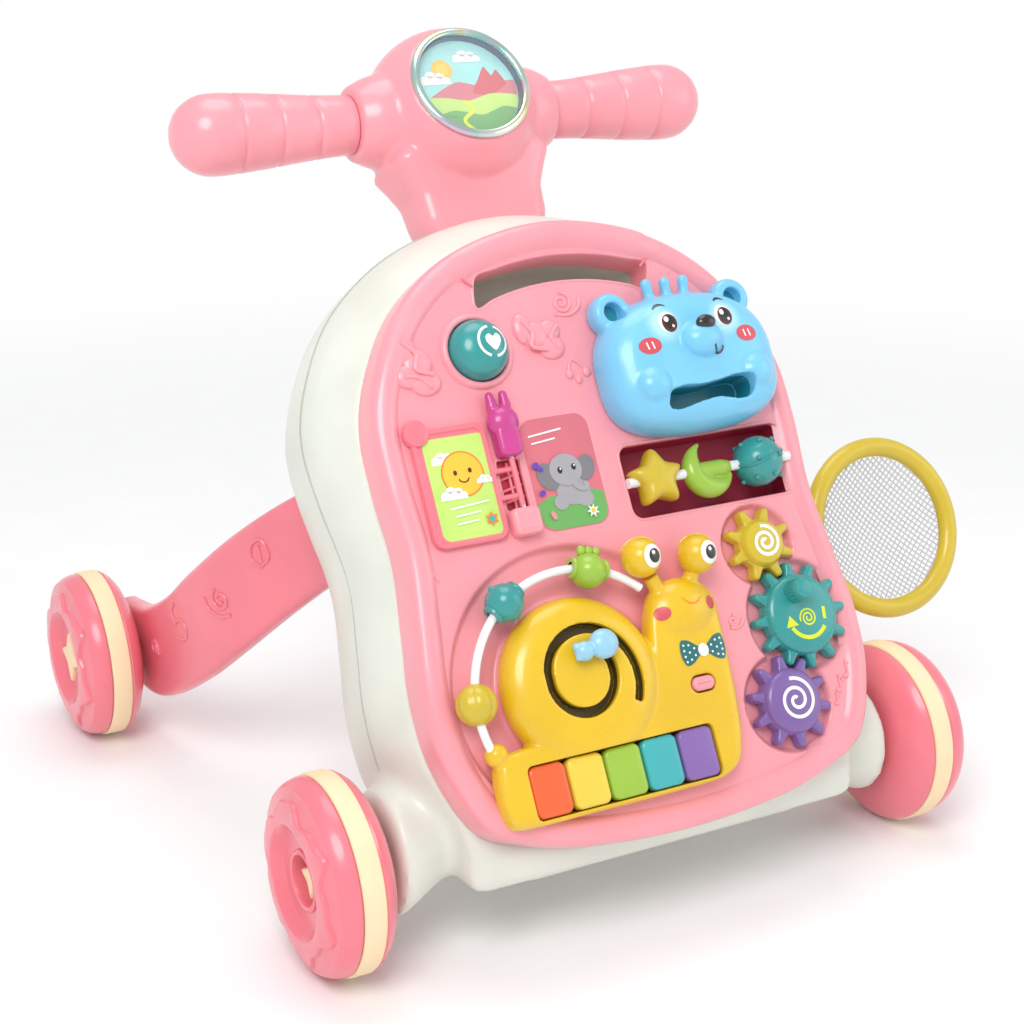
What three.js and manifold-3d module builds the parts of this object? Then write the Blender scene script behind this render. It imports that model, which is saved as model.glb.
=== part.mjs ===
// Baby walker with an activity panel: a leaning front panel on a hollow casing, four donut-shaped
// wheels, two rear legs, a handlebar with a round picture dial, and a net hoop at the right side.
// Units are millimetres, +X is the viewer's right, -Y is the front and +Z is up.
// Panel parts live in a leaning group: x across, y up along the panel, z out of its face.

import * as THREE from 'three';
import { mergeVertices } from 'three/addons/utils/BufferGeometryUtils.js';
import Module from 'manifold-3d';

// ---------- driving dimensions ----------

const WHEEL_R = 55;             // rolling radius of all four wheels
const FRONT_TRACK = 368;        // between the middles of the front tyre bands
const REAR_TRACK = 408;
const WHEELBASE = 347.5;
const BAND_W = 12.5;            // tyre band width
const AXLE_R = 4;
const AXLE_BORE_R = 4.12;

const PANEL_LEAN = 30;          // degrees back from vertical
const PANEL_FOOT_Y = -107.2;    // where the panel plane meets the floor, from the front axle
const PANEL_BOTTOM = 78;        // distances up along the panel
const PANEL_TOP = 425;
const PANEL_DEPTH = 20;         // pink rim, front field to casing
const FIELD_T = 6.5;            // panel wall thickness under the field
const GAP = 0.3;                // between touching pieces
const WALL = 3;

const CASING_DEPTH = 110;       // back face, behind the panel field
const BASE_Z = 46;              // underside of the casing
const BASE_PLATE_T = 3;

const GEAR_MODULE = 4.6;
const GEARS = {
  crank: { teeth: 12, x: 97.5, y: 177.5 },
  yellow: { teeth: 8, bearing: 107.3 },
  purple: { teeth: 10, bearing: 246 },
};
const GEAR_BACK = -3.6;
const GEAR_FACE = 4.6;
const GEAR_CROWN = 8.6;
const GEAR_RECESS = 4.4;

const SLOT = { y: 239.5, rIn: 150, rOut: 164.5, half: 21 };
const BEAD_BOX = { x: 64.2, y: 269, w: 107.5, h: 41, depth: 22, r: 5 };
const ROD = { y: 268.5, z: 2, r: 3, boreR: 3.2 };

const BUTTON = { x: -60.5, y: 355, r: 17.2 };

const BOOK = { axisX: -58.5, axisZ: 5.2, low: 266, high: 292.6, pinR: 1.5, boreR: 1.7 };
const PAGE = { inner: 10.4, outer: 55, low: 250.5, high: 315.5, z0: 0.5, z1: 4.3, tabR: 7.5 };

const RING = { x: -47, y: 166, outer: 77, inner: 50, depth: 4 };
const WIRE = { x: -49, y: 161, z: 10, R: 66.5, r: 2.4, from: 197, to: 47 };
const BEADS = [
  ['yellow_bead', 174.4, 0xe8c233],
  ['teal_bead', 123.5, 0x35a79c],
  ['green_bead', 75.4, 0x9cc53c],
];
const BEAD_R = 11.3;

const SHELL = { x: -51, y: 167, r: 46.5, top: 17.5 };
const TRACK = { x: -54.5, y: 169.5, r: 19, w: 5.4, floor: 9 };
const KEYS = { left: -97, right: 17.5, low: 101.8, high: 130.4, floor: 2.4, z0: 6, z1: 12 };
const KEY_COLOURS = [0xf0643a, 0xf3cf43, 0xa9cb4c, 0x4fb9b2, 0x8567aa];
const BODY_TOP = 13;

const BEAR_STEPS = 26;
const BEAR = { x: 62.7, y: 330, a: 56, b: 40.5, top: 28, ear: 40 };

const HANDLE = { y: 222, z: 411, ballR: 53, tilt: 39, dialR: 37.5, tip: 152.4, tipR: 23.5, root: 66 };
const HOOP = { x: 212, y: 50, z: 166, R: 50.5, tube: 6.6, tilt: 24 };

// ---------- helpers ----------

const wasm = await Module();
wasm.setup();

const rad = (deg) => deg * Math.PI / 180;
const pink = 0xf6a0ac;
const deepPink = 0xee7d89;
const white = 0xeeefe8;
const yellow = 0xfbd03b;
const teal = 0x35a79c;

function toSolid(geometry) {
  const g = geometry.clone();
  for (const name of Object.keys(g.attributes)) {
    if (name !== 'position') g.deleteAttribute(name);
  }
  const merged = mergeVertices(g, 1e-4);
  const vertProperties = new Float32Array(merged.attributes.position.array);
  const corners = merged.index.array;
  const kept = [];
  for (let i = 0; i < corners.length; i += 3) {
    const [a, b, c] = [corners[i], corners[i + 1], corners[i + 2]];
    if (a !== b && b !== c && c !== a) kept.push(a, b, c);
  }
  const triVerts = new Uint32Array(kept);
  return new wasm.Manifold(new wasm.Mesh({ numProp: 3, vertProperties, triVerts }));
}

function toGeometry(solid) {
  const mesh = solid.getMesh();
  const g = new THREE.BufferGeometry();
  g.setAttribute('position', new THREE.BufferAttribute(new Float32Array(mesh.vertProperties), 3));
  g.setIndex(new THREE.BufferAttribute(new Uint32Array(mesh.triVerts), 1));
  g.computeVertexNormals();
  return g;
}

const asSolid = (x) => (x instanceof THREE.BufferGeometry ? toSolid(x) : x);

function join(...list) {
  return list.map(asSolid).reduce((a, b) => a.add(b));
}

function cut(body, ...tools) {
  return tools.map(asSolid).reduce((a, b) => a.subtract(b), asSolid(body));
}

function node(parent, name, shape, color, roughness = 0.35, metalness = 0) {
  const geometry = shape instanceof THREE.BufferGeometry ? shape : toGeometry(shape);
  const material = new THREE.MeshStandardMaterial({ color, roughness, metalness });
  const mesh = new THREE.Mesh(geometry, material);
  mesh.name = name;
  parent.add(mesh);
  return mesh;
}

const at = (g, x, y, z) => g.translate(x, y, z);

function box(x0, x1, y0, y1, z0, z1) {
  return at(new THREE.BoxGeometry(x1 - x0, y1 - y0, z1 - z0), (x0 + x1) / 2, (y0 + y1) / 2, (z0 + z1) / 2);
}

// Cylinder with its axis along z, from z0 to z1.
function disc(x, y, r, z0, z1, segments = 24, topR = r) {
  const g = new THREE.CylinderGeometry(topR, r, z1 - z0, segments);
  return at(g.rotateX(Math.PI / 2), x, y, (z0 + z1) / 2);
}

// Cylinder with its axis along x, from x0 to x1.
function rodX(y, z, r, x0, x1, segments = 24, endR = r) {
  const g = new THREE.CylinderGeometry(endR, r, x1 - x0, segments);
  return at(g.rotateZ(-Math.PI / 2), (x0 + x1) / 2, y, z);
}

function ball(x, y, z, rx, ry = rx, rz = rx, w = 16, h = 10) {
  return at(new THREE.SphereGeometry(1, w, h).rotateX(Math.PI / 2).scale(rx, ry, rz), x, y, z);
}

// A turned solid about z: points are [radius, z] pairs from the bottom axis point to the top one.
function turned(points, segments = 32) {
  const profile = points.map(([r, z]) => new THREE.Vector2(r, z));
  return new THREE.LatheGeometry(profile, segments).rotateX(Math.PI / 2);
}

function plate(outline, z0, z1, bevel = 0, bevelSegments = 1) {
  const shape = new THREE.Shape(outline);
  const g = new THREE.ExtrudeGeometry(shape, {
    depth: z1 - z0 - 2 * bevel,
    bevelEnabled: bevel > 0,
    bevelThickness: bevel,
    bevelSize: bevel,
    bevelOffset: -bevel,
    bevelSegments,
    steps: 1,
  });
  return at(g, 0, 0, z0 + bevel);
}

function roundRect(cx, cy, w, h, r, n = 4) {
  const s = new THREE.Shape();
  s.absarc(cx + w / 2 - r, cy + h / 2 - r, r, 0, Math.PI / 2);
  s.absarc(cx - w / 2 + r, cy + h / 2 - r, r, Math.PI / 2, Math.PI);
  s.absarc(cx - w / 2 + r, cy - h / 2 + r, r, Math.PI, 1.5 * Math.PI);
  s.absarc(cx + w / 2 - r, cy - h / 2 + r, r, 1.5 * Math.PI, 2 * Math.PI);
  const points = s.getPoints(n);
  return points.filter((p, i) => p.distanceTo(points[(i + 1) % points.length]) > 1e-6);
}

// Closed smooth outline through a few points.
function smoothLoop(points, count, tension = 0.5) {
  const knots = points.map(([x, y]) => new THREE.Vector3(x, y, 0));
  const curve = new THREE.CatmullRomCurve3(knots, true, 'catmullrom', tension);
  return curve.getSpacedPoints(count).slice(0, count).map((p) => new THREE.Vector2(p.x, p.y));
}

// Moves a counter-clockwise outline outwards by d along its vertex normals.
function offset(outline, d) {
  const n = outline.length;
  return outline.map((p, i) => {
    const a = outline[(i + n - 1) % n];
    const b = outline[(i + 1) % n];
    const t = new THREE.Vector2(b.x - a.x, b.y - a.y).normalize();
    return new THREE.Vector2(p.x + t.y * d, p.y - t.x * d);
  });
}

// Skin over rings that all have the same number of points, closed with flat caps.
function loft(rings) {
  const n = rings[0].length;
  const position = rings.flat().flatMap((p) => [p.x, p.y, p.z]);
  const index = [];
  for (let k = 0; k + 1 < rings.length; k += 1) {
    for (let i = 0; i < n; i += 1) {
      const a = k * n + i;
      const b = k * n + (i + 1) % n;
      index.push(a, b, b + n, a, b + n, a + n);
    }
  }
  const flat = (ring) => {
    const u = ring[Math.floor(n / 4)].clone().sub(ring[0]).normalize();
    const w = new THREE.Vector3().crossVectors(u, ring[Math.floor(n / 2)].clone().sub(ring[0])).normalize();
    const v = new THREE.Vector3().crossVectors(w, u);
    return ring.map((p) => new THREE.Vector2(p.dot(u), p.dot(v)));
  };
  const cap = (ring, base, flip) => {
    for (const [a, b, c] of THREE.ShapeUtils.triangulateShape(flat(ring), [])) {
      if (flip) index.push(base + a, base + c, base + b);
      else index.push(base + a, base + b, base + c);
    }
  };
  cap(rings[0], 0, true);
  cap(rings[rings.length - 1], (rings.length - 1) * n, false);
  const g = new THREE.BufferGeometry();
  g.setAttribute('position', new THREE.Float32BufferAttribute(position, 3));
  g.setIndex(index);
  return g;
}

const lift = (outline, z) => outline.map((p) => new THREE.Vector3(p.x, p.y, z));

// Stack of one outline at several heights, each [z, offset].
function stack(outline, levels) {
  return loft(levels.map(([z, d]) => lift(offset(outline, d), z)));
}

// Dome over an outline that shrinks towards a centre, each level [z, scale].
function domeStack(outline, cx, cy, levels) {
  return loft(levels.map(([z, k]) => outline.map(
    (p) => new THREE.Vector3(cx + (p.x - cx) * k, cy + (p.y - cy) * k, z))));
}

function arcBand(cx, cy, rIn, rOut, from, to, steps = 10) {
  const points = [];
  for (let i = 0; i <= steps; i += 1) {
    const a = rad(from + (to - from) * i / steps);
    points.push(new THREE.Vector2(cx + rOut * Math.cos(a), cy + rOut * Math.sin(a)));
  }
  for (let i = steps; i >= 0; i -= 1) {
    const a = rad(from + (to - from) * i / steps);
    points.push(new THREE.Vector2(cx + rIn * Math.cos(a), cy + rIn * Math.sin(a)));
  }
  return points;
}

// A tube of round section along a curve.
function tube(curve, r, steps, sides = 10) {
  const section = new THREE.Shape();
  for (let k = 0; k < sides; k += 1) {
    const a = 2 * Math.PI * k / sides;
    if (k) section.lineTo(r * Math.cos(a), r * Math.sin(a));
    else section.moveTo(r, 0);
  }
  return new THREE.ExtrudeGeometry(section, { steps, extrudePath: curve, bevelEnabled: false });
}

// ---------- groups ----------

const walker = new THREE.Group();
const model = new THREE.Group();
walker.add(model);
const panel = new THREE.Group();
panel.position.set(0, PANEL_FOOT_Y, 0);
panel.rotation.x = rad(90 - PANEL_LEAN);
model.add(panel);
panel.updateMatrix();

// ---------- front panel ----------

// Waisted outline of the panel, round at both ends.
const HALF_WIDTHS = [[105, 121], [140, 136], [176, 139], [211, 135], [250, 130.5], [290, 132.5], [325, 131],
  [355, 120], [385, 100], [407, 72]];
const rightSide = HALF_WIDTHS.map(([y, x]) => [x, y]);
const leftSide = HALF_WIDTHS.map(([y, x]) => [-x, y]).reverse();
const panelOutline = smoothLoop(
  [[0, PANEL_BOTTOM], [58, 82], [95, 91], ...rightSide, [38, 420], [0, PANEL_TOP], [-38, 420], ...leftSide,
    [-95, 91], [-58, 82]], 40);

function gearPlace(name) {
  const g = GEARS[name];
  if (name === 'crank') return [g.x, g.y];
  const d = GEAR_MODULE * (g.teeth + GEARS.crank.teeth) / 2;
  return [GEARS.crank.x + d * Math.cos(rad(g.bearing)), GEARS.crank.y + d * Math.sin(rad(g.bearing))];
}

const gearTip = (teeth) => GEAR_MODULE * teeth / 2 + 3.2;

const snailOutline = smoothLoop([[-104, 99], [-60, 98.6], [-10, 98.6], [18, 99.5], [31, 106], [37, 122],
  [40, 148], [41, 176], [41, 198], [31, 210], [16, 212], [3, 206], [-4, 192], [-9, 172], [-20, 150],
  [-60, 141], [-96, 141], [-111, 136], [-114, 118], [-112, 104]], 42, 0.4);

function bearOutline() {
  const points = [];
  for (let k = 0; k < BEAR_STEPS; k += 1) {
    const a = 2 * Math.PI * k / BEAR_STEPS;
    const c = Math.cos(a);
    const s = Math.sin(a);
    const e = s < 0 ? 0.52 : 0.86;
    points.push(new THREE.Vector2(BEAR.x + BEAR.a * Math.sign(c) * Math.abs(c) ** 0.82,
      BEAR.y + BEAR.b * Math.sign(s) * Math.abs(s) ** e));
  }
  return points;
}

// Crescent finger slot under the carry handle, grown by its wall.
function handleSlot(grow, z0, z1) {
  const half = SLOT.half + grow * 0.45;
  return plate(arcBand(0, SLOT.y, SLOT.rIn - grow, SLOT.rOut + grow, 90 - half, 90 + half, 7), z0, z1);
}

function frontPanel() {
  const rim = stack(panelOutline, [[-PANEL_DEPTH, 0], [-5, 0], [1.5, -3.5], [3, -9], [0, -15.5]]);
  const hollow = stack(panelOutline, [[-PANEL_DEPTH - 1, -WALL], [-FIELD_T, -WALL]]);
  const { x, y, w, h, depth, r } = BEAD_BOX;
  const boxRect = roundRect(x, y, w + 2 * WALL, h + 2 * WALL, r + WALL);
  const boxOuter = plate(boxRect, -depth - WALL, -FIELD_T + 0.5);
  const slotOuter = handleSlot(WALL, -PANEL_DEPTH, -FIELD_T + 0.5);
  const collar = disc(BUTTON.x, BUTTON.y, BUTTON.r + 4, -1, 2.6, 24, BUTTON.r + 2.6);
  const knuckle = stack(roundRect(BOOK.axisX, 257.6, 17, 15.6, 3), [[-1, 0], [6.5, 0], [8.8, -1.8]]);
  let body = join(cut(rim, hollow), boxOuter, slotOuter, collar, knuckle);
  body = cut(body, plate(roundRect(x, y, w, h, r), -depth, 12), handleSlot(0, -PANEL_DEPTH - 5, 12));
  body = cut(body, plate(offset(snailOutline, 0.5), 0, 12), plate(offset(bearOutline(), 1.5), 0, 12),
    disc(BEAR.x + BEAR.ear, 364, 12.5, 0, 12, 14));
  body = cut(body, disc(BUTTON.x, BUTTON.y, BUTTON.r + 0.5, -12, 12, 24));
  for (const name of Object.keys(GEARS)) {
    const [gx, gy] = gearPlace(name);
    body = cut(body, disc(gx, gy, gearTip(GEARS[name].teeth) + 1.9, -GEAR_RECESS, 6, 24));
  }
  const groove = cut(disc(RING.x, RING.y, RING.outer, -RING.depth, 1, 32),
    disc(RING.x, RING.y, RING.inner, -9, 9, 24), box(-150, 60, 60, 104, -9, 9));
  body = cut(body, groove);
  const bookLeft = roundRect(BOOK.axisX - (PAGE.inner + PAGE.outer) / 2, (PAGE.low + PAGE.high) / 2,
    PAGE.outer - PAGE.inner + 3, PAGE.high - PAGE.low + 3, 7);
  body = cut(body, plate(bookLeft, -0.6, 2), box(BOOK.axisX - 6.5, BOOK.axisX + 6.5, 265.6, 293, -4.6, 5));
  const pinHole = disc(0, 0, BOOK.boreR, 0, 8, 12).rotateX(-Math.PI / 2);
  body = cut(body, at(pinHole, BOOK.axisX, 260, BOOK.axisZ));
  for (const name of Object.keys(GEARS)) {
    const [gx, gy] = gearPlace(name);
    body = join(body, disc(gx, gy, AXLE_R, -GEAR_RECESS - 0.5, 5.2, 24));
  }
  const rodHoles = rodX(ROD.y, ROD.z, ROD.boreR, x - w / 2 - WALL + 0.8, x + w / 2 + WALL - 0.8, 16);
  const rodSlot = box(x - w / 2 - WALL + 0.8, x + w / 2 + WALL - 0.8, ROD.y - ROD.boreR, ROD.y + ROD.boreR,
    0, 6);
  return cut(body, rodHoles, rodSlot);
}

node(panel, 'front_panel', frontPanel(), pink, 0.32);

// ---------- gears ----------

// Spur gear with round-ended finger teeth; a tooth points along +x at phase 0.
function gearOutline(teeth, phase) {
  const rp = GEAR_MODULE * teeth / 2;
  const tip = rp + 3.2;
  const root = rp - 4.2;
  const points = [];
  for (let k = 0; k < teeth; k += 1) {
    const a = phase + 2 * Math.PI * k / teeth;
    const put = (along, across) => {
      points.push(new THREE.Vector2(along * Math.cos(a) - across * Math.sin(a),
        along * Math.sin(a) + across * Math.cos(a)));
    };
    put(root, -3.5);
    put(tip - 2, -2.6);
    put(tip, -1.1);
    put(tip, 1.1);
    put(tip - 2, 2.6);
    put(root, 3.5);
  }
  return points;
}

function gear(name, phase) {
  const { teeth } = GEARS[name];
  const root = GEAR_MODULE * teeth / 2 - 4.2;
  const blank = plate(gearOutline(teeth, phase), GEAR_BACK, GEAR_FACE);
  const crown = disc(0, 0, root - 0.6, GEAR_FACE - 0.5, GEAR_CROWN, 20, root * 0.72);
  const bore = disc(0, 0, AXLE_BORE_R, GEAR_BACK - 1, 5.6, 24);
  if (name !== 'crank') return cut(join(blank, crown), bore);
  const knob = disc(-4, 13, 6.6, GEAR_CROWN - 3.5, 21, 14, 5.8);
  return cut(join(blank, crown, knob), bore);
}

const gearColours = { crank: teal, yellow: 0xe6c436, purple: 0x7d619f };
for (const name of Object.keys(GEARS)) {
  const [gx, gy] = gearPlace(name);
  // The crank gear has a tooth towards each neighbour's gap.
  const { teeth, bearing } = GEARS[name];
  const crankStep = 2 * Math.PI / GEARS.crank.teeth;
  const lead = name === 'crank' ? 0 : (rad(bearing) % crankStep) / crankStep;
  const facing = name === 'crank' ? 0 : rad(bearing) + Math.PI;
  const phase = name === 'crank' ? 0 : facing + (0.5 + lead) * 2 * Math.PI / teeth;
  node(panel, `${name}_gear`, gear(name, phase), gearColours[name]).position.set(gx, gy, 0);
}

// ---------- spinners on a rod ----------

const rodHalf = BEAD_BOX.w / 2 + 2;
const spinnerRod = rodX(ROD.y, ROD.z, ROD.r, BEAD_BOX.x - rodHalf, BEAD_BOX.x + rodHalf, 16);
node(panel, 'spinner_rod', spinnerRod, 0xe9e9e9, 0.25);

function starOutline(r, inner) {
  const points = [];
  for (let k = 0; k < 10; k += 1) {
    const a = Math.PI / 2 + Math.PI * k / 5;
    const q = k % 2 ? inner : r;
    points.push([q * Math.cos(a), q * Math.sin(a)]);
  }
  return smoothLoop(points, 25, 0.35);
}

// Crescent with its horns towards the upper right, on a hub along the rod.
function moon(r) {
  const blank = disc(0, 0, r, -7, 7, 22);
  const bite = disc(r * 0.42, r * 0.36, r * 0.78, -9, 9, 18);
  const hub = rodX(0, 0, 5.2, -14.5, 14.5, 12);
  return cut(join(cut(blank, bite), hub), spinnerBore());
}

const spinnerBore = () => rodX(0, 0, ROD.boreR, -30, 30, 16);

node(panel, 'star_spinner', cut(plate(starOutline(17.2, 11.6), -8.5, 8.5, 1.6), spinnerBore()), 0xe3c034)
  .position.set(27.6, ROD.y, ROD.z);
node(panel, 'moon_spinner', moon(16.5), 0x9cc53c)
  .position.set(62.5, ROD.y, ROD.z);
node(panel, 'ball_spinner', cut(ball(0, 0, 0, 15.2, 15.2, 15.2, 18, 10), spinnerBore()), teal)
  .position.set(97, ROD.y, ROD.z);

// ---------- dome button ----------

const dome = turned([[0, -9], [BUTTON.r + 1.8, -9], [BUTTON.r + 1.8, -7], [BUTTON.r, -7], [BUTTON.r, 2],
  [15.6, 7.5], [10.5, 12], [0, 14.2]], 24);
node(panel, 'dome_button', dome, teal).position.set(BUTTON.x, BUTTON.y, 0);

// ---------- flip book ----------

function bookPage() {
  const cx = BOOK.axisX - (PAGE.inner + PAGE.outer) / 2;
  const cy = (PAGE.low + PAGE.high) / 2;
  const w = PAGE.outer - PAGE.inner;
  const h = PAGE.high - PAGE.low;
  const leaf = plate(roundRect(cx, cy, w, h, 6, 2), PAGE.z0, PAGE.z1);
  const tab = disc(BOOK.axisX - PAGE.outer + 4, PAGE.high - 1.5, PAGE.tabR, PAGE.z0 + 0.3, PAGE.z1 + 1, 14);
  const recess = plate(roundRect(cx, cy, w - 6, h - 6, 4, 2), PAGE.z1 - 1.2, 9);
  const barrel = at(disc(0, 0, 3.4, 0, BOOK.high - BOOK.low, 12).rotateX(-Math.PI / 2),
    BOOK.axisX, BOOK.low, BOOK.axisZ);
  const arms = [270, 285].map((y) => box(BOOK.axisX - PAGE.inner - 1, BOOK.axisX - 2.2, y, y + 4.5,
    PAGE.z0 + 1.6, PAGE.z1 - 0.4));
  const bore = at(disc(0, 0, BOOK.boreR, -1, 40, 12).rotateX(-Math.PI / 2), BOOK.axisX, BOOK.low, BOOK.axisZ);
  return cut(join(cut(leaf, recess), tab, barrel, ...arms), bore);
}

node(panel, 'book_page', bookPage(), deepPink);
node(panel, 'book_hinge_pin', at(disc(0, 0, BOOK.pinR, 0, 38, 12).rotateX(-Math.PI / 2), BOOK.axisX, 260.5,
  BOOK.axisZ), 0xd9d9dc, 0.3, 0.9);

function rabbitCap() {
  const x = BOOK.axisX;
  const torso = stack(roundRect(x, 302, 14, 17.6, 4, 2), [[GAP, 0], [9, 0], [11, -2]]);
  const head = ball(x, 313, 5.2, 9.6, 9.4, 7.6, 10, 6);
  const ears = [-4.2, 4.2].map((dx) => ball(x + dx, 325.5, 5.4, 3, 7.4, 3, 8, 6));
  const trim = box(-100, 0, 280, 340, -20, GAP);
  const pinHole = at(disc(0, 0, BOOK.boreR, 0, 7, 12).rotateX(-Math.PI / 2), x, 292, BOOK.axisZ);
  return cut(join(torso, head, ...ears), trim, pinHole);
}

node(panel, 'rabbit_hinge_cap', rabbitCap(), 0xcf4f9c);

// ---------- bead wire ----------

class WireArc extends THREE.Curve {
  getPoint(t, target = new THREE.Vector3()) {
    const a = rad(WIRE.from + (WIRE.to - WIRE.from) * t);
    return target.set(WIRE.x + WIRE.R * Math.cos(a), WIRE.y + WIRE.R * Math.sin(a), WIRE.z);
  }
}

const wireTube = (r, steps) => tube(new WireArc(), r, steps, 8);
node(panel, 'bead_wire', wireTube(WIRE.r, 24), 0xf2f2f0, 0.3);

for (const [name, angle, color] of BEADS) {
  const x = WIRE.x + WIRE.R * Math.cos(rad(angle));
  const y = WIRE.y + WIRE.R * Math.sin(rad(angle));
  const bore = rodX(0, 0, 3.7, -20, 20, 8).rotateZ(rad(angle + 90));
  const bead = cut(ball(0, 0, 0, BEAD_R, BEAD_R, BEAD_R, 12, 7), bore);
  node(panel, name, bead, color).position.set(x, y, WIRE.z);
}

// ---------- snail with piano ----------

// Spiral track: a round run of constant radius, then a run that opens out to the shell's right side.
function trackPoint(angle) {
  const past = Math.max(0, -185 - angle);
  const r = TRACK.r + past * 0.067;
  return [TRACK.x + past * 0.012 + r * Math.cos(rad(angle)), TRACK.y + r * Math.sin(rad(angle))];
}

const TRACK_START = 48;
const TRACK_END = -395;

function trackCutter() {
  const steps = 30;
  const left = [];
  const right = [];
  for (let i = 0; i <= steps; i += 1) {
    const angle = TRACK_START + 10 + (TRACK_END - TRACK_START - 10) * i / steps;
    const [x0, y0] = trackPoint(angle);
    const [x1, y1] = trackPoint(angle - 1);
    const t = new THREE.Vector2(x1 - x0, y1 - y0).normalize().multiplyScalar(TRACK.w / 2);
    left.push(new THREE.Vector2(x0 - t.y, y0 + t.x));
    right.unshift(new THREE.Vector2(x0 + t.y, y0 - t.x));
  }
  return plate([...left, ...right].reverse(), TRACK.floor, 30);
}

const EYES = { left: [-1.4, 225.4], right: [33.8, 221.5], z: 14.5, r: 11.2 };

function snailBody() {
  const slab = stack(snailOutline, [[GAP, 0], [9, 0], [BODY_TOP, -4]]);
  const shellDome = at(turned([[0, GAP], [SHELL.r, GAP], [SHELL.r, 6], [SHELL.r - 4, 12.5],
    [SHELL.r - 13, SHELL.top], [0, SHELL.top]], 30), SHELL.x, SHELL.y, 0);
  const head = ball(19, 194, 6, 21.5, 18, 12.5, 16, 8);
  const stalks = [[8, 206, EYES.left], [27, 206, EYES.right]].map(([x, y, [ex, ey]]) => {
    const from = new THREE.Vector3(x, y, 8);
    const to = new THREE.Vector3(ex, ey, EYES.z);
    const run = new THREE.LineCurve3(from, from.clone().lerp(to, 0.55));
    return tube(run, 4.2, 1, 8);
  });
  const tailBoss = ball(-110, 140, 8, 6.5, 6.5, 6.5, 8, 6);
  let body = join(slab, shellDome, head, ...stalks, tailBoss);
  body = cut(body, box(-200, 200, 50, 300, -30, GAP), trackCutter());
  const w = KEYS.right - KEYS.left;
  const h = KEYS.high - KEYS.low;
  const keyWell = roundRect((KEYS.left + KEYS.right) / 2, (KEYS.low + KEYS.high) / 2, w, h, 2);
  body = cut(body, plate(keyWell, KEYS.floor, 30));
  body = cut(body, plate(roundRect(18.5, 152, 15.4, 9.4, 4.6, 3), 6, 30), wireTube(WIRE.r + GAP, 24));
  for (const [ex, ey] of [EYES.left, EYES.right]) {
    body = cut(body, ball(ex, ey, EYES.z, EYES.r + GAP, EYES.r + GAP, EYES.r + GAP, 14, 9));
  }
  return body;
}

node(panel, 'snail_body', snailBody(), yellow);
node(panel, 'left_eye', ball(0, 0, 0, EYES.r, EYES.r, EYES.r, 14, 9), yellow)
  .position.set(EYES.left[0], EYES.left[1], EYES.z);
node(panel, 'right_eye', ball(0, 0, 0, EYES.r, EYES.r, EYES.r, 14, 9), yellow)
  .position.set(EYES.right[0], EYES.right[1], EYES.z);
node(panel, 'snail_button', plate(roundRect(18.5, 152, 14, 8, 3.9, 3), 8.8, 14.6), pink);

const keyPitch = (KEYS.right - KEYS.left) / KEY_COLOURS.length;
KEY_COLOURS.forEach((color, i) => {
  const x = KEYS.left + keyPitch * (i + 0.5);
  const y = (KEYS.low + KEYS.high) / 2;
  const outline = roundRect(x, y, keyPitch - 0.9, KEYS.high - KEYS.low - 0.8, 2.6, 2);
  node(panel, `piano_key_${i + 1}`, plate(outline, KEYS.z0, KEYS.z1), color);
});

function trackKnob() {
  const [x, y] = trackPoint(TRACK_START);
  const stem = disc(x, y, TRACK.w / 2 - 0.35, TRACK.floor + 0.4, 20, 10);
  const belly = ball(x, y, 24, 8.6, 8.2, 6.2, 12, 7);
  const snout = ball(x - 12, y - 1.6, 23.4, 6.2, 5.6, 5, 10, 6);
  return join(stem, belly, snout);
}

node(panel, 'track_knob', trackKnob(), 0x9fd3ee);

// ---------- bear ----------

function bearShell() {
  const levels = [[GAP, 1], [9, 1], [16, 0.955], [22, 0.87], [26, 0.74], [BEAR.top, 0.54]];
  const face = domeStack(bearOutline(), BEAR.x, BEAR.y, levels);
  const ears = [-BEAR.ear, BEAR.ear].map((dx) => disc(BEAR.x + dx, 364, 12, GAP, 12.5, 14, 10.5));
  const tufts = [[-13, 373.5], [-1.5, 375.5], [10, 374]].map(
    ([dx, y]) => ball(BEAR.x + dx, y, 9, 4.2, 7.5, 5, 7, 5));
  const snout = ball(BEAR.x + 1, 338, 25, 13.5, 10.5, 10.5, 12, 7);
  const hands = [-32.5, 32.5].map((dx) => ball(BEAR.x + dx, 317, 18.5, 12, 11, 11, 12, 7));
  let body = join(face, ...ears, ...tufts, snout, ...hands);
  const inner = domeStack(bearOutline(), BEAR.x, BEAR.y, [[-1, 0.935], [9, 0.935], [21, 0.76], [25, 0.5]]);
  body = cut(body, inner, plate(roundRect(BEAR.x, 308.5, 56, 11, 4.5), 4, 40),
    box(0, 140, 280, 400, -10, GAP));
  const holes = [-BEAR.ear, BEAR.ear].map((dx) => disc(BEAR.x + dx, 364, 5.6, 4, 20, 10));
  return cut(body, ...holes);
}

node(panel, 'bear_shell', bearShell(), 0x74c8f2);
const tray = cut(plate(roundRect(BEAR.x, 307, 66, 19, 6, 2), GAP, 13),
  plate(roundRect(BEAR.x, 307, 60, 13, 4, 2), 3, 20));
node(panel, 'bear_mouth_tray', tray, 0x1794a0);

// ---------- rear casing ----------

// The casing swells behind the panel, more at the top than at the sides.
function casingRing(z, grow, shrink) {
  const scaled = panelOutline.map((p) => {
    const up = Math.max(0, (p.y - 250) / (PANEL_TOP - 250));
    return new THREE.Vector2(p.x * (1 + 0.07 * grow), p.y + 24 * up * grow);
  });
  return lift(offset(scaled, shrink), z);
}

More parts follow.
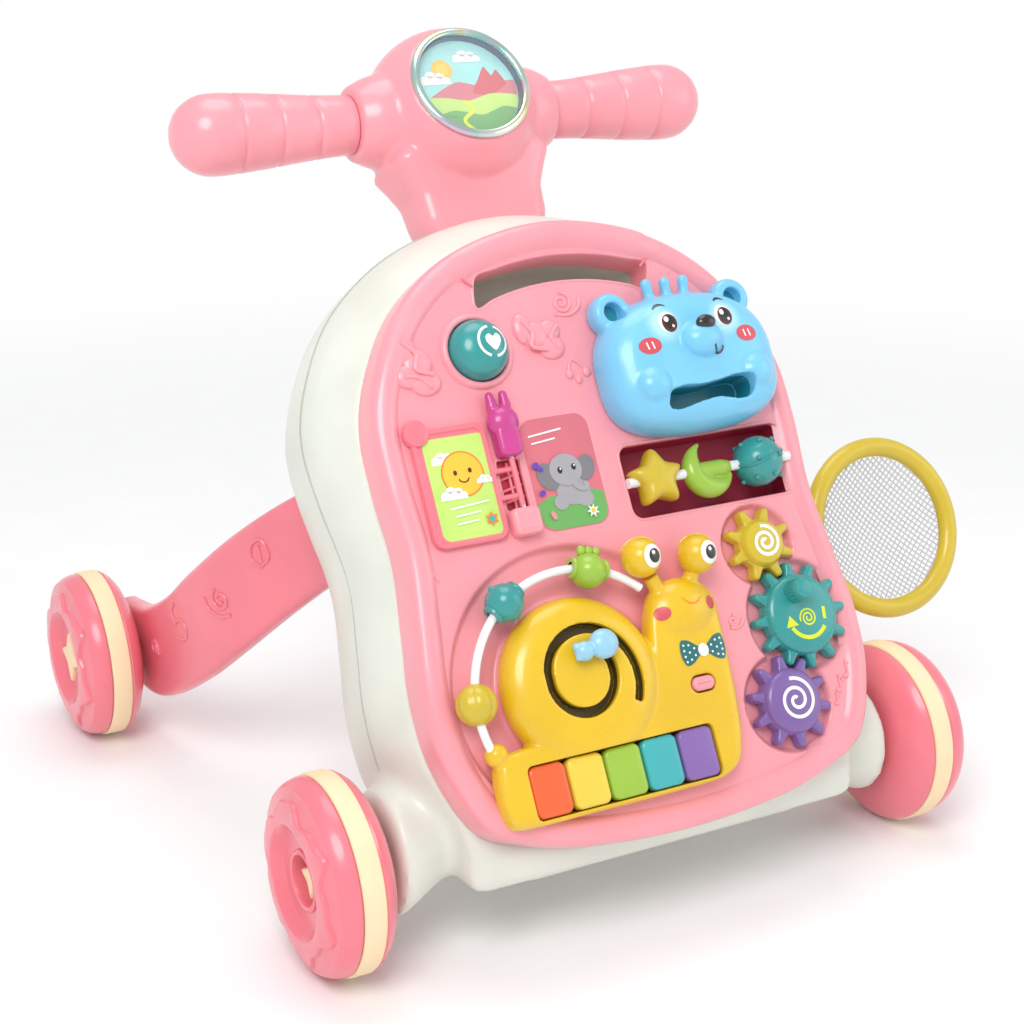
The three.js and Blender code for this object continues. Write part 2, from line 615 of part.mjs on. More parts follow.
function casingBarrel(inset) {
  const back = -CASING_DEPTH + (inset > 0 ? WALL : 0);
  const front = inset > 0 ? -PANEL_DEPTH + 5 : -PANEL_DEPTH - GAP;
  const g = loft([
    casingRing(back, 0.55, -14 - inset),
    casingRing(back + 5, 0.8, -4.5 - inset),
    casingRing(-80, 1, -inset),
    casingRing(-46, 0.85, -inset),
    casingRing(front, 0.0, -0.4 - inset),
  ]);
  return g.applyMatrix4(panel.matrix);
}

// Side profile of the lower housing, extruded across.
function lowerHousing(inset) {
  const corners = [[-44, BASE_Z], [72, BASE_Z], [82, 50], [86, 60], [88, 128], [60, 165], [-30, 120], [-47, 58]];
  const outline = corners.map(([y, z]) => new THREE.Vector2(y, z));
  const half = 126 - inset;
  const g = plate(offset(outline, -inset), -half, half, 7, inset > 0 ? 1 : 2);
  return g.applyMatrix4(new THREE.Matrix4().makeBasis(
    new THREE.Vector3(0, 1, 0), new THREE.Vector3(0, 0, 1), new THREE.Vector3(1, 0, 0)));
}

// Horn-shaped arm to a front wheel; side is -1 or 1.
function frontArm(side, inset) {
  const stations = [[95, 14, 76, 26], [118, 9, 70, 30], [138, 4, 63, 33], [158.4 - inset * 1.2, 0, 59, 36]];
  const rings = stations.map(([x, y, z, r]) => {
    const ring = [];
    for (let k = 0; k < 14; k += 1) {
      const a = side * 2 * Math.PI * k / 14;
      ring.push(new THREE.Vector3(side * x, y + (r - inset) * Math.cos(a), z + (r - inset) * Math.sin(a)));
    }
    return ring;
  });
  return loft(rings);
}

// Rear leg: a curved flat beam. Stations are [x, y, z, height, thickness].
const LEG_STATIONS = [
  [108, 118, 205, 50, 16],
  [120, 157, 183, 56, 17],
  [140, 197, 150, 60, 18],
  [157, 235, 115, 61, 18],
  [167, 268, 87, 60, 17],
  [172, 312, 65, 56, 16],
  [173, 352, 56, 46, 15],
  [173, 372, 55, 30, 12],
];

function rearLeg(side, grow) {
  const centre = LEG_STATIONS.map(([x, y, z]) => new THREE.Vector3(x, y, z));
  const rings = LEG_STATIONS.map(([x, y, z, h, t], i) => {
    const a = centre[Math.max(0, i - 1)];
    const b = centre[Math.min(centre.length - 1, i + 1)];
    const along = b.clone().sub(a).normalize();
    const across = new THREE.Vector3(0, 0, 1).cross(along).normalize();
    const up = along.clone().cross(across).normalize();
    return roundRect(0, 0, t + 2 * grow, h + 2 * grow, Math.min(6, t / 2.4) + grow, 2).map((p) => {
      const q = new THREE.Vector3(x, y, z).addScaledVector(across, p.x).addScaledVector(up, p.y);
      q.x *= side;
      return q;
    });
  });
  return loft(side > 0 ? rings : rings.map((ring) => ring.slice().reverse()));
}

const BATTERY = { x: 52, y0: 8, y1: 68 };

function rearCasing() {
  const keep = box(-300, 300, -300, 300, BASE_Z, 600);
  let body = join(asSolid(casingBarrel(0)).intersect(asSolid(keep)), lowerHousing(0), frontArm(-1, 0),
    frontArm(1, 0));
  const keepInner = box(-300, 300, -300, 300, BASE_Z + WALL, 600);
  const inner = join(asSolid(casingBarrel(WALL)).intersect(asSolid(keepInner)), lowerHousing(WALL),
    frontArm(-1, WALL), frontArm(1, WALL));
  body = cut(body, inner);
  const front = box(-200, 200, 0, 600, -PANEL_DEPTH - GAP, 60).applyMatrix4(panel.matrix);
  body = cut(body, front, rodX(0, WHEEL_R, AXLE_BORE_R, -200, 200));
  body = cut(body, rearLeg(-1, 0.4), rearLeg(1, 0.4), neckPlug(0.4));
  return cut(body, box(-BATTERY.x - GAP, BATTERY.x + GAP, BATTERY.y0, BATTERY.y1, BASE_Z - 5, BASE_Z + 8),
    hoopSocket(GAP));
}

// Neck between the casing and the handle's head, in panel directions.
function neckPlug(grow) {
  const ring = (y, w, t, z) => roundRect(0, z, w + 2 * grow, t + 2 * grow, 9 + grow, 2)
    .map((p) => new THREE.Vector3(p.x, y, p.y)).reverse();
  const g = loft([ring(428, 70, 30, -76), ring(452, 84, 36, -76), ring(468, 86, 38, -77),
    ring(490, 104, 50, -79), ring(500, 90, 50, -80)]);
  return g.applyMatrix4(panel.matrix);
}

// Round spigot of the hoop's arm.
function hoopSocket(grow) {
  return rodX(56, 160, 7 + grow, 118, 150, 20);
}

node(model, 'rear_casing', rearCasing(), white, 0.4);

const basePlate = cut(plate(roundRect(0, 18, 196, 112, 16, 3), BASE_Z - BASE_PLATE_T - GAP, BASE_Z - GAP),
  box(-BATTERY.x - GAP, BATTERY.x + GAP, BATTERY.y0, BATTERY.y1, 0, 100));
node(model, 'base_plate', basePlate, white, 0.45);
const batteryDoor = box(-BATTERY.x, BATTERY.x, BATTERY.y0 + GAP, BATTERY.y1 - GAP,
  BASE_Z - BASE_PLATE_T - GAP, BASE_Z - GAP);
node(model, 'battery_door', batteryDoor, white, 0.45);
const batteryBox = box(2 - BATTERY.x, BATTERY.x - 2, BATTERY.y0 + 2, BATTERY.y1 - 2, BASE_Z + 1, BASE_Z + 22);
node(model, 'battery_box', batteryBox, 0x3a3a3d, 0.6);

node(panel, 'circuit_board', box(-55, 45, 120, 215, -40, -38.4), 0x2f7d4a, 0.5);
const speaker = turned([[0, -60], [14, -60], [14, -52], [26, -44], [29, -43], [29, -41], [0, -41]], 24);
node(panel, 'speaker', at(speaker, -10, 300, 0), 0x2c2c2e, 0.5);

// ---------- rear legs ----------

for (const [side, word] of [[-1, 'left'], [1, 'right']]) {
  const bore = rodX(WHEELBASE, WHEEL_R, AXLE_BORE_R, side > 0 ? 140 : -200, side > 0 ? 200 : -140);
  const channel = rearLeg(side, -3.2).translate(-5 * side, 0, 0);
  const run = asSolid(channel).intersect(asSolid(box(-250, 250, 0, 300, 0, 300)));
  node(model, `${word}_rear_leg`, cut(rearLeg(side, 0), run, bore), deepPink, 0.35);
}

// ---------- wheels and axles ----------

// Wheel halves and band, turned about z with the outer side up, band centred on z = 0.
const b = BAND_W / 2;
const hubR = 9.5;
const outerHalf = [[50, b + GAP], [53.4, b + GAP], [54, b + 2.5], [51.5, b + 10], [45, b + 16],
  [34, b + 17.4], [26, b + 10], [hubR, b + 9], [hubR, b + 6], [27, b + 6], [35, b + 13.6], [45, b + 11.5]];
const innerHalf = [[AXLE_BORE_R, -b - 14.5], [22, -b - 14.5], [40, -b - 12], [50, -b - 6.5], [54, -b - 1.5],
  [53.4, -b - GAP], [50, -b - GAP], [46, -b - 4.5], [10, -b - 10.5], [10, b - 0.2], [AXLE_BORE_R, b - 0.2]];
const tyreBand = [[45.5, -b], [WHEEL_R, -b], [WHEEL_R, b], [45.5, b]];

function closedTurned(points, segments) {
  return turned([...points, points[0]], segments);
}

const WHEELS = [['front_left', -1, FRONT_TRACK, 0], ['front_right', 1, FRONT_TRACK, 0],
  ['rear_left', -1, REAR_TRACK, WHEELBASE], ['rear_right', 1, REAR_TRACK, WHEELBASE]];
for (const [name, side, track, y] of WHEELS) {
  const wheel = new THREE.Group();
  wheel.position.set(side * track / 2, y, WHEEL_R);
  wheel.rotation.y = side * Math.PI / 2;
  model.add(wheel);
  node(wheel, `${name}_wheel_outer`, closedTurned(outerHalf, 16), deepPink, 0.35);
  node(wheel, `${name}_wheel_inner`, closedTurned(innerHalf, 16), deepPink, 0.35);
  node(wheel, `${name}_tyre`, closedTurned(tyreBand, 28), 0xfbe6c2, 0.6);
}

const frontAxle = FRONT_TRACK / 2 + b;
node(model, 'front_axle', rodX(0, WHEEL_R, AXLE_R, -frontAxle, frontAxle), 0xc8cace, 0.3, 1);
for (const [side, word] of [[-1, 'left'], [1, 'right']]) {
  const ends = [side * 158, side * (REAR_TRACK / 2 + b)].sort((p, q) => p - q);
  node(model, `rear_${word}_axle`, rodX(WHEELBASE, WHEEL_R, AXLE_R, ends[0], ends[1]), 0xc8cace, 0.3, 1);
}

// ---------- handlebar ----------

const dialGroup = new THREE.Group();
dialGroup.position.set(0, HANDLE.y, HANDLE.z);
dialGroup.rotation.x = rad(90 - HANDLE.tilt);
model.add(dialGroup);
dialGroup.updateMatrix();
const DIAL_FACE = 37;

function handleHead() {
  const shell = ball(0, HANDLE.y, HANDLE.z, HANDLE.ballR, HANDLE.ballR, HANDLE.ballR, 18, 11);
  const collars = [-1, 1].map((side) => {
    const c = side * (HANDLE.root - 0.3);
    const [x0, x1] = side < 0 ? [c, -40] : [40, c];
    return rodX(HANDLE.y, HANDLE.z, side < 0 ? 21.5 : 29, x0, x1, 16, side < 0 ? 29 : 21.5);
  });
  const front = disc(0, 0, 60, DIAL_FACE, DIAL_FACE + 30, 20);
  const pocket = disc(0, 0, 34, 20, 60, 18);
  let body = join(shell, ...collars, neckPlug(0));
  body = cut(body, front.applyMatrix4(dialGroup.matrix), pocket.applyMatrix4(dialGroup.matrix));
  body = cut(body, ball(0, HANDLE.y, HANDLE.z, HANDLE.ballR - 4, HANDLE.ballR - 4, HANDLE.ballR - 4, 12, 7));
  body = cut(body, neckPlug(-4));
  const spigots = [-1, 1].map((side) => {
    const [x0, x1] = side < 0 ? [-HANDLE.root - 22, -HANDLE.root + 3] : [HANDLE.root - 3, HANDLE.root + 22];
    return rodX(HANDLE.y, HANDLE.z, 12.5, x0, x1, 14);
  });
  return join(body, ...spigots);
}

node(model, 'handle_head', handleHead(), pink, 0.3);
const bezel = [[33, DIAL_FACE + 0.3], [HANDLE.dialR, DIAL_FACE + 0.3], [HANDLE.dialR, DIAL_FACE + 1.8],
  [35.6, DIAL_FACE + 3.6], [33, DIAL_FACE + 3]];
node(dialGroup, 'dial_bezel', closedTurned(bezel, 28), 0xb9c2c9, 0.2, 0.9);
node(dialGroup, 'dial_picture', disc(0, 0, 33.4, 31, 33, 26), 0x9bdcd6, 0.4);
const lens = turned([[0, 33.4], [32.6, 33.4], [32.6, 37.6], [22, 39.4], [0, 40.4]], 22);
node(dialGroup, 'dial_lens', lens, 0xdff2f5, 0.05);

// Grip: thin at the root, fat round tip, hollow along most of its length.
const gripStart = HANDLE.root;
const gripProfile = [
  [12.9, gripStart], [17.4, gripStart], [18.2, 84], [20.6, 110], [22.9, 135], [23.5, HANDLE.tip],
  [22.2, HANDLE.tip + 8], [17.6, HANDLE.tip + 16], [10, HANDLE.tip + 21.3], [0, HANDLE.tip + 23.2],
  [0, 150], [12.9, 145], [12.9, gripStart],
];
for (const [side, word] of [[-1, 'left'], [1, 'right']]) {
  const grip = turned(gripProfile, 16).rotateY(side * Math.PI / 2);
  node(model, `${word}_grip`, at(grip, 0, HANDLE.y, HANDLE.z), pink, 0.35);
}

// ---------- net hoop ----------

const hoop = new THREE.Group();
hoop.position.set(HOOP.x, HOOP.y, HOOP.z);
hoop.rotation.x = rad(90 - HOOP.tilt);
model.add(hoop);
hoop.updateMatrix();
const ringProfile = [];
for (let k = 0; k < 6; k += 1) {
  const a = 2 * Math.PI * k / 6;
  ringProfile.push([HOOP.R + HOOP.tube * Math.cos(a), HOOP.tube * 0.95 * Math.sin(a)]);
}
const ringSolid = closedTurned(ringProfile, 26).applyMatrix4(hoop.matrix);
const arm = hoopSocket(0);
const armRun = rodX(56, 160, 7, 149, 168, 20);
node(model, 'hoop_ring', join(ringSolid, arm, armRun), 0xe8c634, 0.35);
const netR = HOOP.R - HOOP.tube - GAP;
const net = turned([[0, -7], [24, -6], [netR, -1.6], [netR, -0.2], [24, -4.6], [0, -5.6]], 24);
node(hoop, 'hoop_net', net, 0xc9cdd2, 0.6);

// ---------- origin: middle of the footprint, on the floor ----------

walker.updateMatrixWorld(true);
const bounds = new THREE.Box3().setFromObject(walker, true);
const middle = bounds.getCenter(new THREE.Vector3());
model.position.set(-middle.x, -middle.y, -bounds.min.z);

export default walker;
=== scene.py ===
from math import cos, hypot, pi, radians, sin
import bmesh
import bpy
import numpy as np
from mathutils import Matrix, Vector
from mathutils.bvhtree import BVHTree


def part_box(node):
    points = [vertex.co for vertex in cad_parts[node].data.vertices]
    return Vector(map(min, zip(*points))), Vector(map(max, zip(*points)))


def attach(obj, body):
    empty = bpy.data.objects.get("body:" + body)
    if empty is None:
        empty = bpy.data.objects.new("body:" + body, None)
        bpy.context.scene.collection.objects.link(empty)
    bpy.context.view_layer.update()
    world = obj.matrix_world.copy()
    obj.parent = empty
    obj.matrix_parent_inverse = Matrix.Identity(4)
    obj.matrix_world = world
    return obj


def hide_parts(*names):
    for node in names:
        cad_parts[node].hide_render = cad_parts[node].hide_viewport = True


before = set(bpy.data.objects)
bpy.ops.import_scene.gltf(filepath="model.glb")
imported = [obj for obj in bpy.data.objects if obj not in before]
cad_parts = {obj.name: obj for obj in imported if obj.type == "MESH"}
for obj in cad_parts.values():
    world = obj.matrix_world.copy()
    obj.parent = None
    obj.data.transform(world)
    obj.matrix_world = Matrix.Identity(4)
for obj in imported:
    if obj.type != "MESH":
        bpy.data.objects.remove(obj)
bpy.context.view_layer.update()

axle_low, axle_high = (Vector(p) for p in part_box("front_axle"))
centre = (axle_low + axle_high) / 2
WORLD = Matrix.Translation((centre.x, centre.y, 0)) @ Matrix.Scale(0.001, 4)
HEAD = (0, 222, 411)
PANEL_MM = Matrix.Translation((0, -107.2, 0)) @ Matrix.Rotation(radians(60), 4, "X")
DIAL_MM = Matrix.Translation(HEAD) @ Matrix.Rotation(radians(51), 4, "X")
PANEL, DIAL = WORLD @ PANEL_MM, WORLD @ DIAL_MM
HOOP = WORLD @ Matrix.Translation((212, 50, 166)) @ Matrix.Rotation(radians(66), 4, "X")

# ---------- camera ----------

AZ, EL = radians(-28.49), radians(19.15)
back = Vector((sin(AZ) * cos(EL), -cos(AZ) * cos(EL), sin(EL)))
right = Vector((cos(AZ), sin(AZ), 0))
camera = bpy.data.objects.new("camera", bpy.data.cameras.new("camera"))
bpy.context.scene.collection.objects.link(camera)
turn = Matrix((right, back.cross(right), back)).transposed().to_4x4()
camera.matrix_world = Matrix.Translation(WORLD @ Vector((-539.5, -852.4, 575.9))) @ turn
camera.data.lens = 69.15
camera.data.sensor_width = 36
camera.data.clip_start = 0.05
bpy.context.scene.camera = camera

# ---------- materials ----------


def new_material(name):
    mat = bpy.data.materials.new(name)
    mat.use_nodes = True
    return mat, mat.node_tree.nodes, mat.node_tree.links, mat.node_tree.nodes["Principled BSDF"]


def add(nodes, kind, **values):
    node = nodes.new(kind)
    for key, value in values.items():
        if key in node.inputs:
            node.inputs[key].default_value = value
        else:
            setattr(node, key, value)
    return node


def remap(nodes, low, high, start=0.0, end=1.0, kind="LINEAR"):
    """Map Range node that takes start..end to low..high."""
    return add(nodes, "ShaderNodeMapRange", interpolation_type=kind,
               **{"From Min": start, "From Max": end, "To Min": low, "To Max": high})


def tone(rgb, k):
    return tuple(min(1.0, c * k) for c in rgb) + (1.0,)


def plastic(name, rgb, rough=0.3, coat=0.35, grain=1500.0, bump=0.05, spread=0.05, subsurface=0.0, metal=0.0):
    """Moulded plastic: faint cloudy colour, uneven gloss and a fine moulded grain."""
    mat, nodes, links, shader = new_material(name)
    place = nodes.new("ShaderNodeTexCoord")
    cloud = add(nodes, "ShaderNodeTexNoise", Scale=22.0, Detail=3.0)
    ramp = nodes.new("ShaderNodeValToRGB")
    ramp.color_ramp.elements[0].position = 0.3
    ramp.color_ramp.elements[0].color = tone(rgb, 1 - spread)
    ramp.color_ramp.elements[1].position = 0.72
    ramp.color_ramp.elements[1].color = tone(rgb, 1 + spread)
    gloss = add(nodes, "ShaderNodeTexNoise", Scale=160.0, Detail=4.0)
    span = remap(nodes, rough - 0.05, rough + 0.07)
    fine = add(nodes, "ShaderNodeTexNoise", Scale=grain, Detail=2.0)
    rise = add(nodes, "ShaderNodeBump", Strength=bump, Distance=0.0004)
    for tex in (cloud, gloss, fine):
        links.new(place.outputs["Object"], tex.inputs["Vector"])
    links.new(cloud.outputs["Fac"], ramp.inputs["Fac"])
    links.new(ramp.outputs["Color"], shader.inputs["Base Color"])
    links.new(gloss.outputs["Fac"], span.inputs["Value"])
    links.new(span.outputs["Result"], shader.inputs["Roughness"])
    links.new(fine.outputs["Fac"], rise.inputs["Height"])
    links.new(rise.outputs["Normal"], shader.inputs["Normal"])
    shader.inputs["Coat Weight"].default_value = coat
    shader.inputs["Coat Roughness"].default_value = 0.12
    shader.inputs["Metallic"].default_value = metal
    if subsurface:
        shader.inputs["Subsurface Weight"].default_value = subsurface
        shader.inputs["Subsurface Radius"].default_value = (0.006, 0.003, 0.002)
        shader.inputs["Subsurface Scale"].default_value = 1.0
    return mat


def painted_highlight_spots(mat, rgb, spots, radius):
    """Paints highlights into a plastic: lightens it softly around a few points of the row frame."""
    nodes, links = mat.node_tree.nodes, mat.node_tree.links
    shader = nodes["Principled BSDF"]
    ramp = next(n for n in nodes if n.type == "VALTORGB")
    place = next(n for n in nodes if n.type == "TEX_COORD")
    current = ramp.outputs["Color"]
    for spot in spots:
        away = nodes.new("ShaderNodeVectorMath")
        away.operation = "DISTANCE"
        away.inputs[1].default_value = spot
        links.new(place.outputs["Object"], away.inputs[0])
        fade = remap(nodes, 0.7, 0.0, radius * 0.35, radius, "SMOOTHSTEP")
        links.new(away.outputs["Value"], fade.inputs["Value"])
        mix = nodes.new("ShaderNodeMix")
        mix.data_type = "RGBA"
        mix.inputs[7].default_value = rgb + (1.0,)
        links.new(fade.outputs["Result"], mix.inputs[0])
        links.new(current, mix.inputs[6])
        current = mix.outputs[2]
    links.new(current, shader.inputs["Base Color"])


PINK = plastic("pink_shell", (0.89, 0.325, 0.375), 0.3, subsurface=0.08)
DEEP = plastic("deep_pink_shell", (0.84, 0.195, 0.245), 0.3, subsurface=0.08)
WHITE = plastic("white_shell", (0.72, 0.74, 0.66), 0.36, coat=0.2, subsurface=0.05)
CREAM = plastic("cream_band", (0.92, 0.72, 0.46), 0.6, coat=0.0, grain=900.0, bump=0.16)
YELLOW = plastic("snail_yellow", (0.77, 0.49, 0.014), 0.28, subsurface=0.06)
MUSTARD = plastic("mustard_yellow", (0.62, 0.46, 0.025), 0.32)
TEAL = plastic("teal_gloss", (0.03, 0.30, 0.29), 0.26)
GREEN = plastic("leaf_green", (0.32, 0.52, 0.05), 0.3)
PURPLE = plastic("violet", (0.20, 0.11, 0.35), 0.3)
ORANGE = plastic("key_orange", (0.80, 0.12, 0.03), 0.34)
KEY_YELLOW = plastic("key_yellow", (0.80, 0.60, 0.06), 0.34)
KEY_TEAL = plastic("key_teal", (0.05, 0.42, 0.44), 0.34)
KEY_VIOLET = plastic("key_violet", (0.24, 0.13, 0.40), 0.34)
MAGENTA = plastic("rabbit_magenta", (0.56, 0.05, 0.26), 0.3)
BEAR = plastic("bear_blue", (0.19, 0.56, 0.83), 0.3, subsurface=0.05)
SKY = plastic("knob_blue", (0.30, 0.58, 0.76), 0.3)
ROSE = plastic("key_pink", (0.90, 0.25, 0.30), 0.3)
WIRE_WHITE = plastic("wire_white", (0.83, 0.84, 0.86), 0.2, coat=0.6)
# dark crimson: painted shade for the insides of recesses (bead box, book window, front wheel hubs)
RECESS_SHADE = plastic("recess_painted_shade", (0.50, 0.03, 0.08), 0.5, coat=0.0)
INK = plastic("ink_black", (0.012, 0.009, 0.010), 0.25, coat=0.6)
INK_WHITE = plastic("ink_white", (0.88, 0.88, 0.86), 0.42, coat=0.1)
INK_BROWN = plastic("ink_brown", (0.10, 0.02, 0.012), 0.3)
BLUSH = plastic("ink_blush", (0.62, 0.08, 0.10), 0.42, coat=0.1)
INK_LIME = plastic("ink_lime", (0.70, 0.78, 0.02), 0.42, coat=0.1)
CARD_LIME = plastic("card_lime", (0.52, 0.74, 0.16), 0.5, coat=0.25, spread=0.1)
CARD_ROSE = plastic("card_rose", (0.66, 0.16, 0.20), 0.45, coat=0.3, spread=0.1)
CARD_GRASS = plastic("card_grass", (0.14, 0.40, 0.10), 0.5, coat=0.25, spread=0.14)
CARD_SUN = plastic("card_sun", (0.95, 0.52, 0.04), 0.5, coat=0.25, spread=0.1)
CARD_ORANGE = plastic("card_orange", (0.78, 0.22, 0.02), 0.5, coat=0.25)
CARD_GREY = plastic("card_grey", (0.36, 0.35, 0.37), 0.5, coat=0.25, spread=0.08)
CARD_DARK = plastic("card_dark_grey", (0.20, 0.19, 0.21), 0.5, coat=0.25)
CARD_VIOLET = plastic("card_violet", (0.13, 0.05, 0.42), 0.5, coat=0.25)
DEEP_TEAL = plastic("bow_teal", (0.01, 0.14, 0.15), 0.4)
TRAY_TEAL = plastic("tray_teal", (0.01, 0.24, 0.31), 0.4)
STEEL = plastic("drawn_steel", (0.62, 0.63, 0.65), 0.28, coat=0.0, grain=600.0, bump=0.1, metal=1.0)
BLACK = plastic("black_moulding", (0.02, 0.02, 0.022), 0.55, coat=0.0)
BOARD = plastic("board_green", (0.02, 0.16, 0.06), 0.45)
NET = plastic("net_grey", (0.50, 0.52, 0.54), 0.5, coat=0.0, grain=2500.0, bump=0.3)


def bezel_material():
    """Bright metal ring with a faint rainbow running round it."""
    mat, nodes, links, shader = new_material("rainbow_bezel")
    place = nodes.new("ShaderNodeTexCoord")
    wave = add(nodes, "ShaderNodeTexNoise", Scale=28.0, Detail=1.0)
    ramp = nodes.new("ShaderNodeValToRGB")
    stops = [(0.3, (0.55, 0.72, 0.82)), (0.42, (0.80, 0.74, 0.45)), (0.5, (0.82, 0.80, 0.78)),
             (0.6, (0.45, 0.70, 0.62)), (0.7, (0.70, 0.52, 0.66))]
    ramp.color_ramp.elements[0].position = stops[0][0]
    ramp.color_ramp.elements[0].color = stops[0][1] + (1,)
    ramp.color_ramp.elements[1].position = stops[-1][0]
    ramp.color_ramp.elements[1].color = stops[-1][1] + (1,)
    for where, rgb in stops[1:-1]:
        ramp.color_ramp.elements.new(where).color = rgb + (1,)
    links.new(place.outputs["Object"], wave.inputs["Vector"])
    links.new(wave.outputs["Fac"], ramp.inputs["Fac"])
    links.new(ramp.outputs["Color"], shader.inputs["Base Color"])
    shader.inputs["Metallic"].default_value = 0.85
    shader.inputs["Roughness"].default_value = 0.2
    return mat


def lens_material():
    """Clear moulded lens: mostly see-through, with a glossy skin."""
    mat, nodes, links, shader = new_material("clear_lens")
    place = nodes.new("ShaderNodeTexCoord")
    smear = add(nodes, "ShaderNodeTexNoise", Scale=60.0, Detail=3.0)
    span = remap(nodes, 0.02, 0.09)
    links.new(place.outputs["Object"], smear.inputs["Vector"])
    links.new(smear.outputs["Fac"], span.inputs["Value"])
    links.new(span.outputs["Result"], shader.inputs["Roughness"])
    shader.inputs["Base Color"].default_value = (0.93, 0.98, 1.0, 1.0)
    shader.inputs["Alpha"].default_value = 0.14
    shader.inputs["IOR"].default_value = 1.49
    return mat


SEAM = plastic("seam_shade", (0.50, 0.52, 0.45), 0.5, coat=0.0)
# dark olive: painted shade for the snail's groove floor and the floor under the keys
GROOVE_SHADE = plastic("groove_painted_shade", (0.09, 0.06, 0.008), 0.5, coat=0.0)
BEZEL = bezel_material()
LENS = lens_material()

# ---------- mesh helpers ----------


def make(name, shape, mat, body="frame", place=PANEL, smooth=35, nodes=()):
    """A piece from (vertices, faces) in a local place, baked into the row frame and riding on a body."""
    verts, faces = shape
    mesh = bpy.data.meshes.new(name)
    mesh.from_pydata([tuple(place @ Vector(v)) for v in verts], [], [tuple(f) for f in faces])
    mesh.materials.append(mat)
    bm = bmesh.new()
    bm.from_mesh(mesh)
    bmesh.ops.recalc_face_normals(bm, faces=bm.faces)
    bm.to_mesh(mesh)
    bm.free()
    mesh.shade_smooth()
    mesh.set_sharp_from_angle(angle=radians(smooth))
    ob = bpy.data.objects.new(name, mesh)
    bpy.context.scene.collection.objects.link(ob)
    if nodes:
        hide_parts(*nodes)
    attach(ob, body)
    return ob


def combine(*shapes):
    verts, faces = [], []
    for v, f in shapes:
        base = len(verts)
        verts += [tuple(p) for p in v]
        faces += [tuple(i + base for i in face) for face in f]
    return verts, faces


def loft(rings, caps=(True, True)):
    """Skin over closed rings of equal length."""
    n = len(rings[0])
    verts = [tuple(p) for ring in rings for p in ring]
    faces = []
    for k in range(len(rings) - 1):
        for i in range(n):
            a, b = k * n + i, k * n + (i + 1) % n
            faces.append((a, b, b + n, a + n))
    if caps[0]:
        faces.append(tuple(range(n - 1, -1, -1)))
    if caps[1]:
        faces.append(tuple(range((len(rings) - 1) * n, len(rings) * n)))
    return verts, faces


def offset(outline, d):
    """Moves a counter-clockwise outline outwards by d."""
    n = len(outline)
    moved = []
    for i, p in enumerate(outline):
        a, b = outline[i - 1], outline[(i + 1) % n]
        tx, ty = b[0] - a[0], b[1] - a[1]
        k = hypot(tx, ty) or 1.0
        moved.append((p[0] + ty / k * d, p[1] - tx / k * d))
    return moved


def stack(outline, levels, caps=(True, True)):
    """Closed solid over one outline, levels are (height, offset)."""
    return loft([[(x, y, z) for x, y in offset(outline, d)] for z, d in levels], caps)


def block(x0, x1, y0, y1, z0, z1):
    return stack([(x0, y0), (x1, y0), (x1, y1), (x0, y1)], [(z0, 0), (z1, 0)])


def revolve(profile, segments=64, caps=(False, False), bend=None):
    """Surface turned about z; profile is (radius, height) from one end to the other."""
    rings = []
    for r, z in profile:
        ring = []
        for i in range(segments):
            a = 2 * pi * i / segments
            q, w = bend(r, z, a) if bend else (r, z)
            ring.append((q * cos(a), q * sin(a), w))
        rings.append(ring)
    return loft(rings, caps)


def moved(shape, x=0.0, y=0.0, z=0.0, turn=None):
    verts, faces = shape
    out = []
    for v in verts:
        p = Vector(v)
        if turn:
            p = turn @ p
        out.append((p.x + x, p.y + y, p.z + z))
    return out, faces


def ball(x, y, z, rx, ry=None, rz=None, segments=28, rings=18):
    ry, rz = ry or rx, rz or rx
    steps = [pi * k / rings for k in range(1, rings)]
    body = [[(x + rx * sin(t) * cos(2 * pi * i / segments), y + ry * sin(t) * sin(2 * pi * i / segments),
              z - rz * cos(t)) for i in range(segments)] for t in steps]
    return loft(body)


def tube(points, r, sides=12, squash=1.0, closed=False):
    """Round tube along points; squash flattens it along local z. r may be a number or one per point."""
    pts = [Vector(p) for p in points]
    n = len(pts)
    rings = []
    for i, p in enumerate(pts):
        a = pts[i - 1] if i or closed else p
        b = pts[(i + 1) % n] if i + 1 < n or closed else p
        t = (b - a).normalized()
        side = t.cross(Vector((0, 0, 1)))
        side = side.normalized() if side.length > 1e-4 else Vector((1, 0, 0))
        up = side.cross(t)
        q = r[i] if isinstance(r, (list, tuple)) else r
        rings.append([p + side * (q * cos(2 * pi * k / sides)) + up * (q * squash * sin(2 * pi * k / sides))
                      for k in range(sides)])
    if closed:
        rings.append(rings[0])
        return loft(rings, (False, False))
    return loft(rings)


def smooth_loop(points, count, tension=0.5):
    """Closed smooth outline through a few points, evenly spaced."""
    pts = np.array(points, float)
    n = len(pts)
    fine = []
    for i in range(n):
        p0, p1, p2, p3 = pts[i - 1], pts[i], pts[(i + 1) % n], pts[(i + 2) % n]
        m1, m2 = (p2 - p0) * tension, (p3 - p1) * tension
        for t in np.linspace(0, 1, 24, endpoint=False):
            fine.append((2 * t**3 - 3 * t**2 + 1) * p1 + (t**3 - 2 * t**2 + t) * m1
                        + (-2 * t**3 + 3 * t**2) * p2 + (t**3 - t**2) * m2)
    fine = np.array(fine + [fine[0]])
    run = np.concatenate([[0], np.cumsum(np.linalg.norm(np.diff(fine, axis=0), axis=1))])
    marks = np.linspace(0, run[-1], count, endpoint=False)
    xs, ys = np.interp(marks, run, fine[:, 0]), np.interp(marks, run, fine[:, 1])
    return list(zip(xs.tolist(), ys.tolist()))


def burst(points, even, odd, count, tension=0.5, cx=0.0, cy=0.0, start=0.0):
    """Smooth star or flower outline, whose points take two radii in turn."""
    spokes = [(odd if k % 2 else even, start + 2 * pi * k / points) for k in range(points)]
    return smooth_loop([(cx + r * cos(a), cy + r * sin(a)) for r, a in spokes], count, tension)


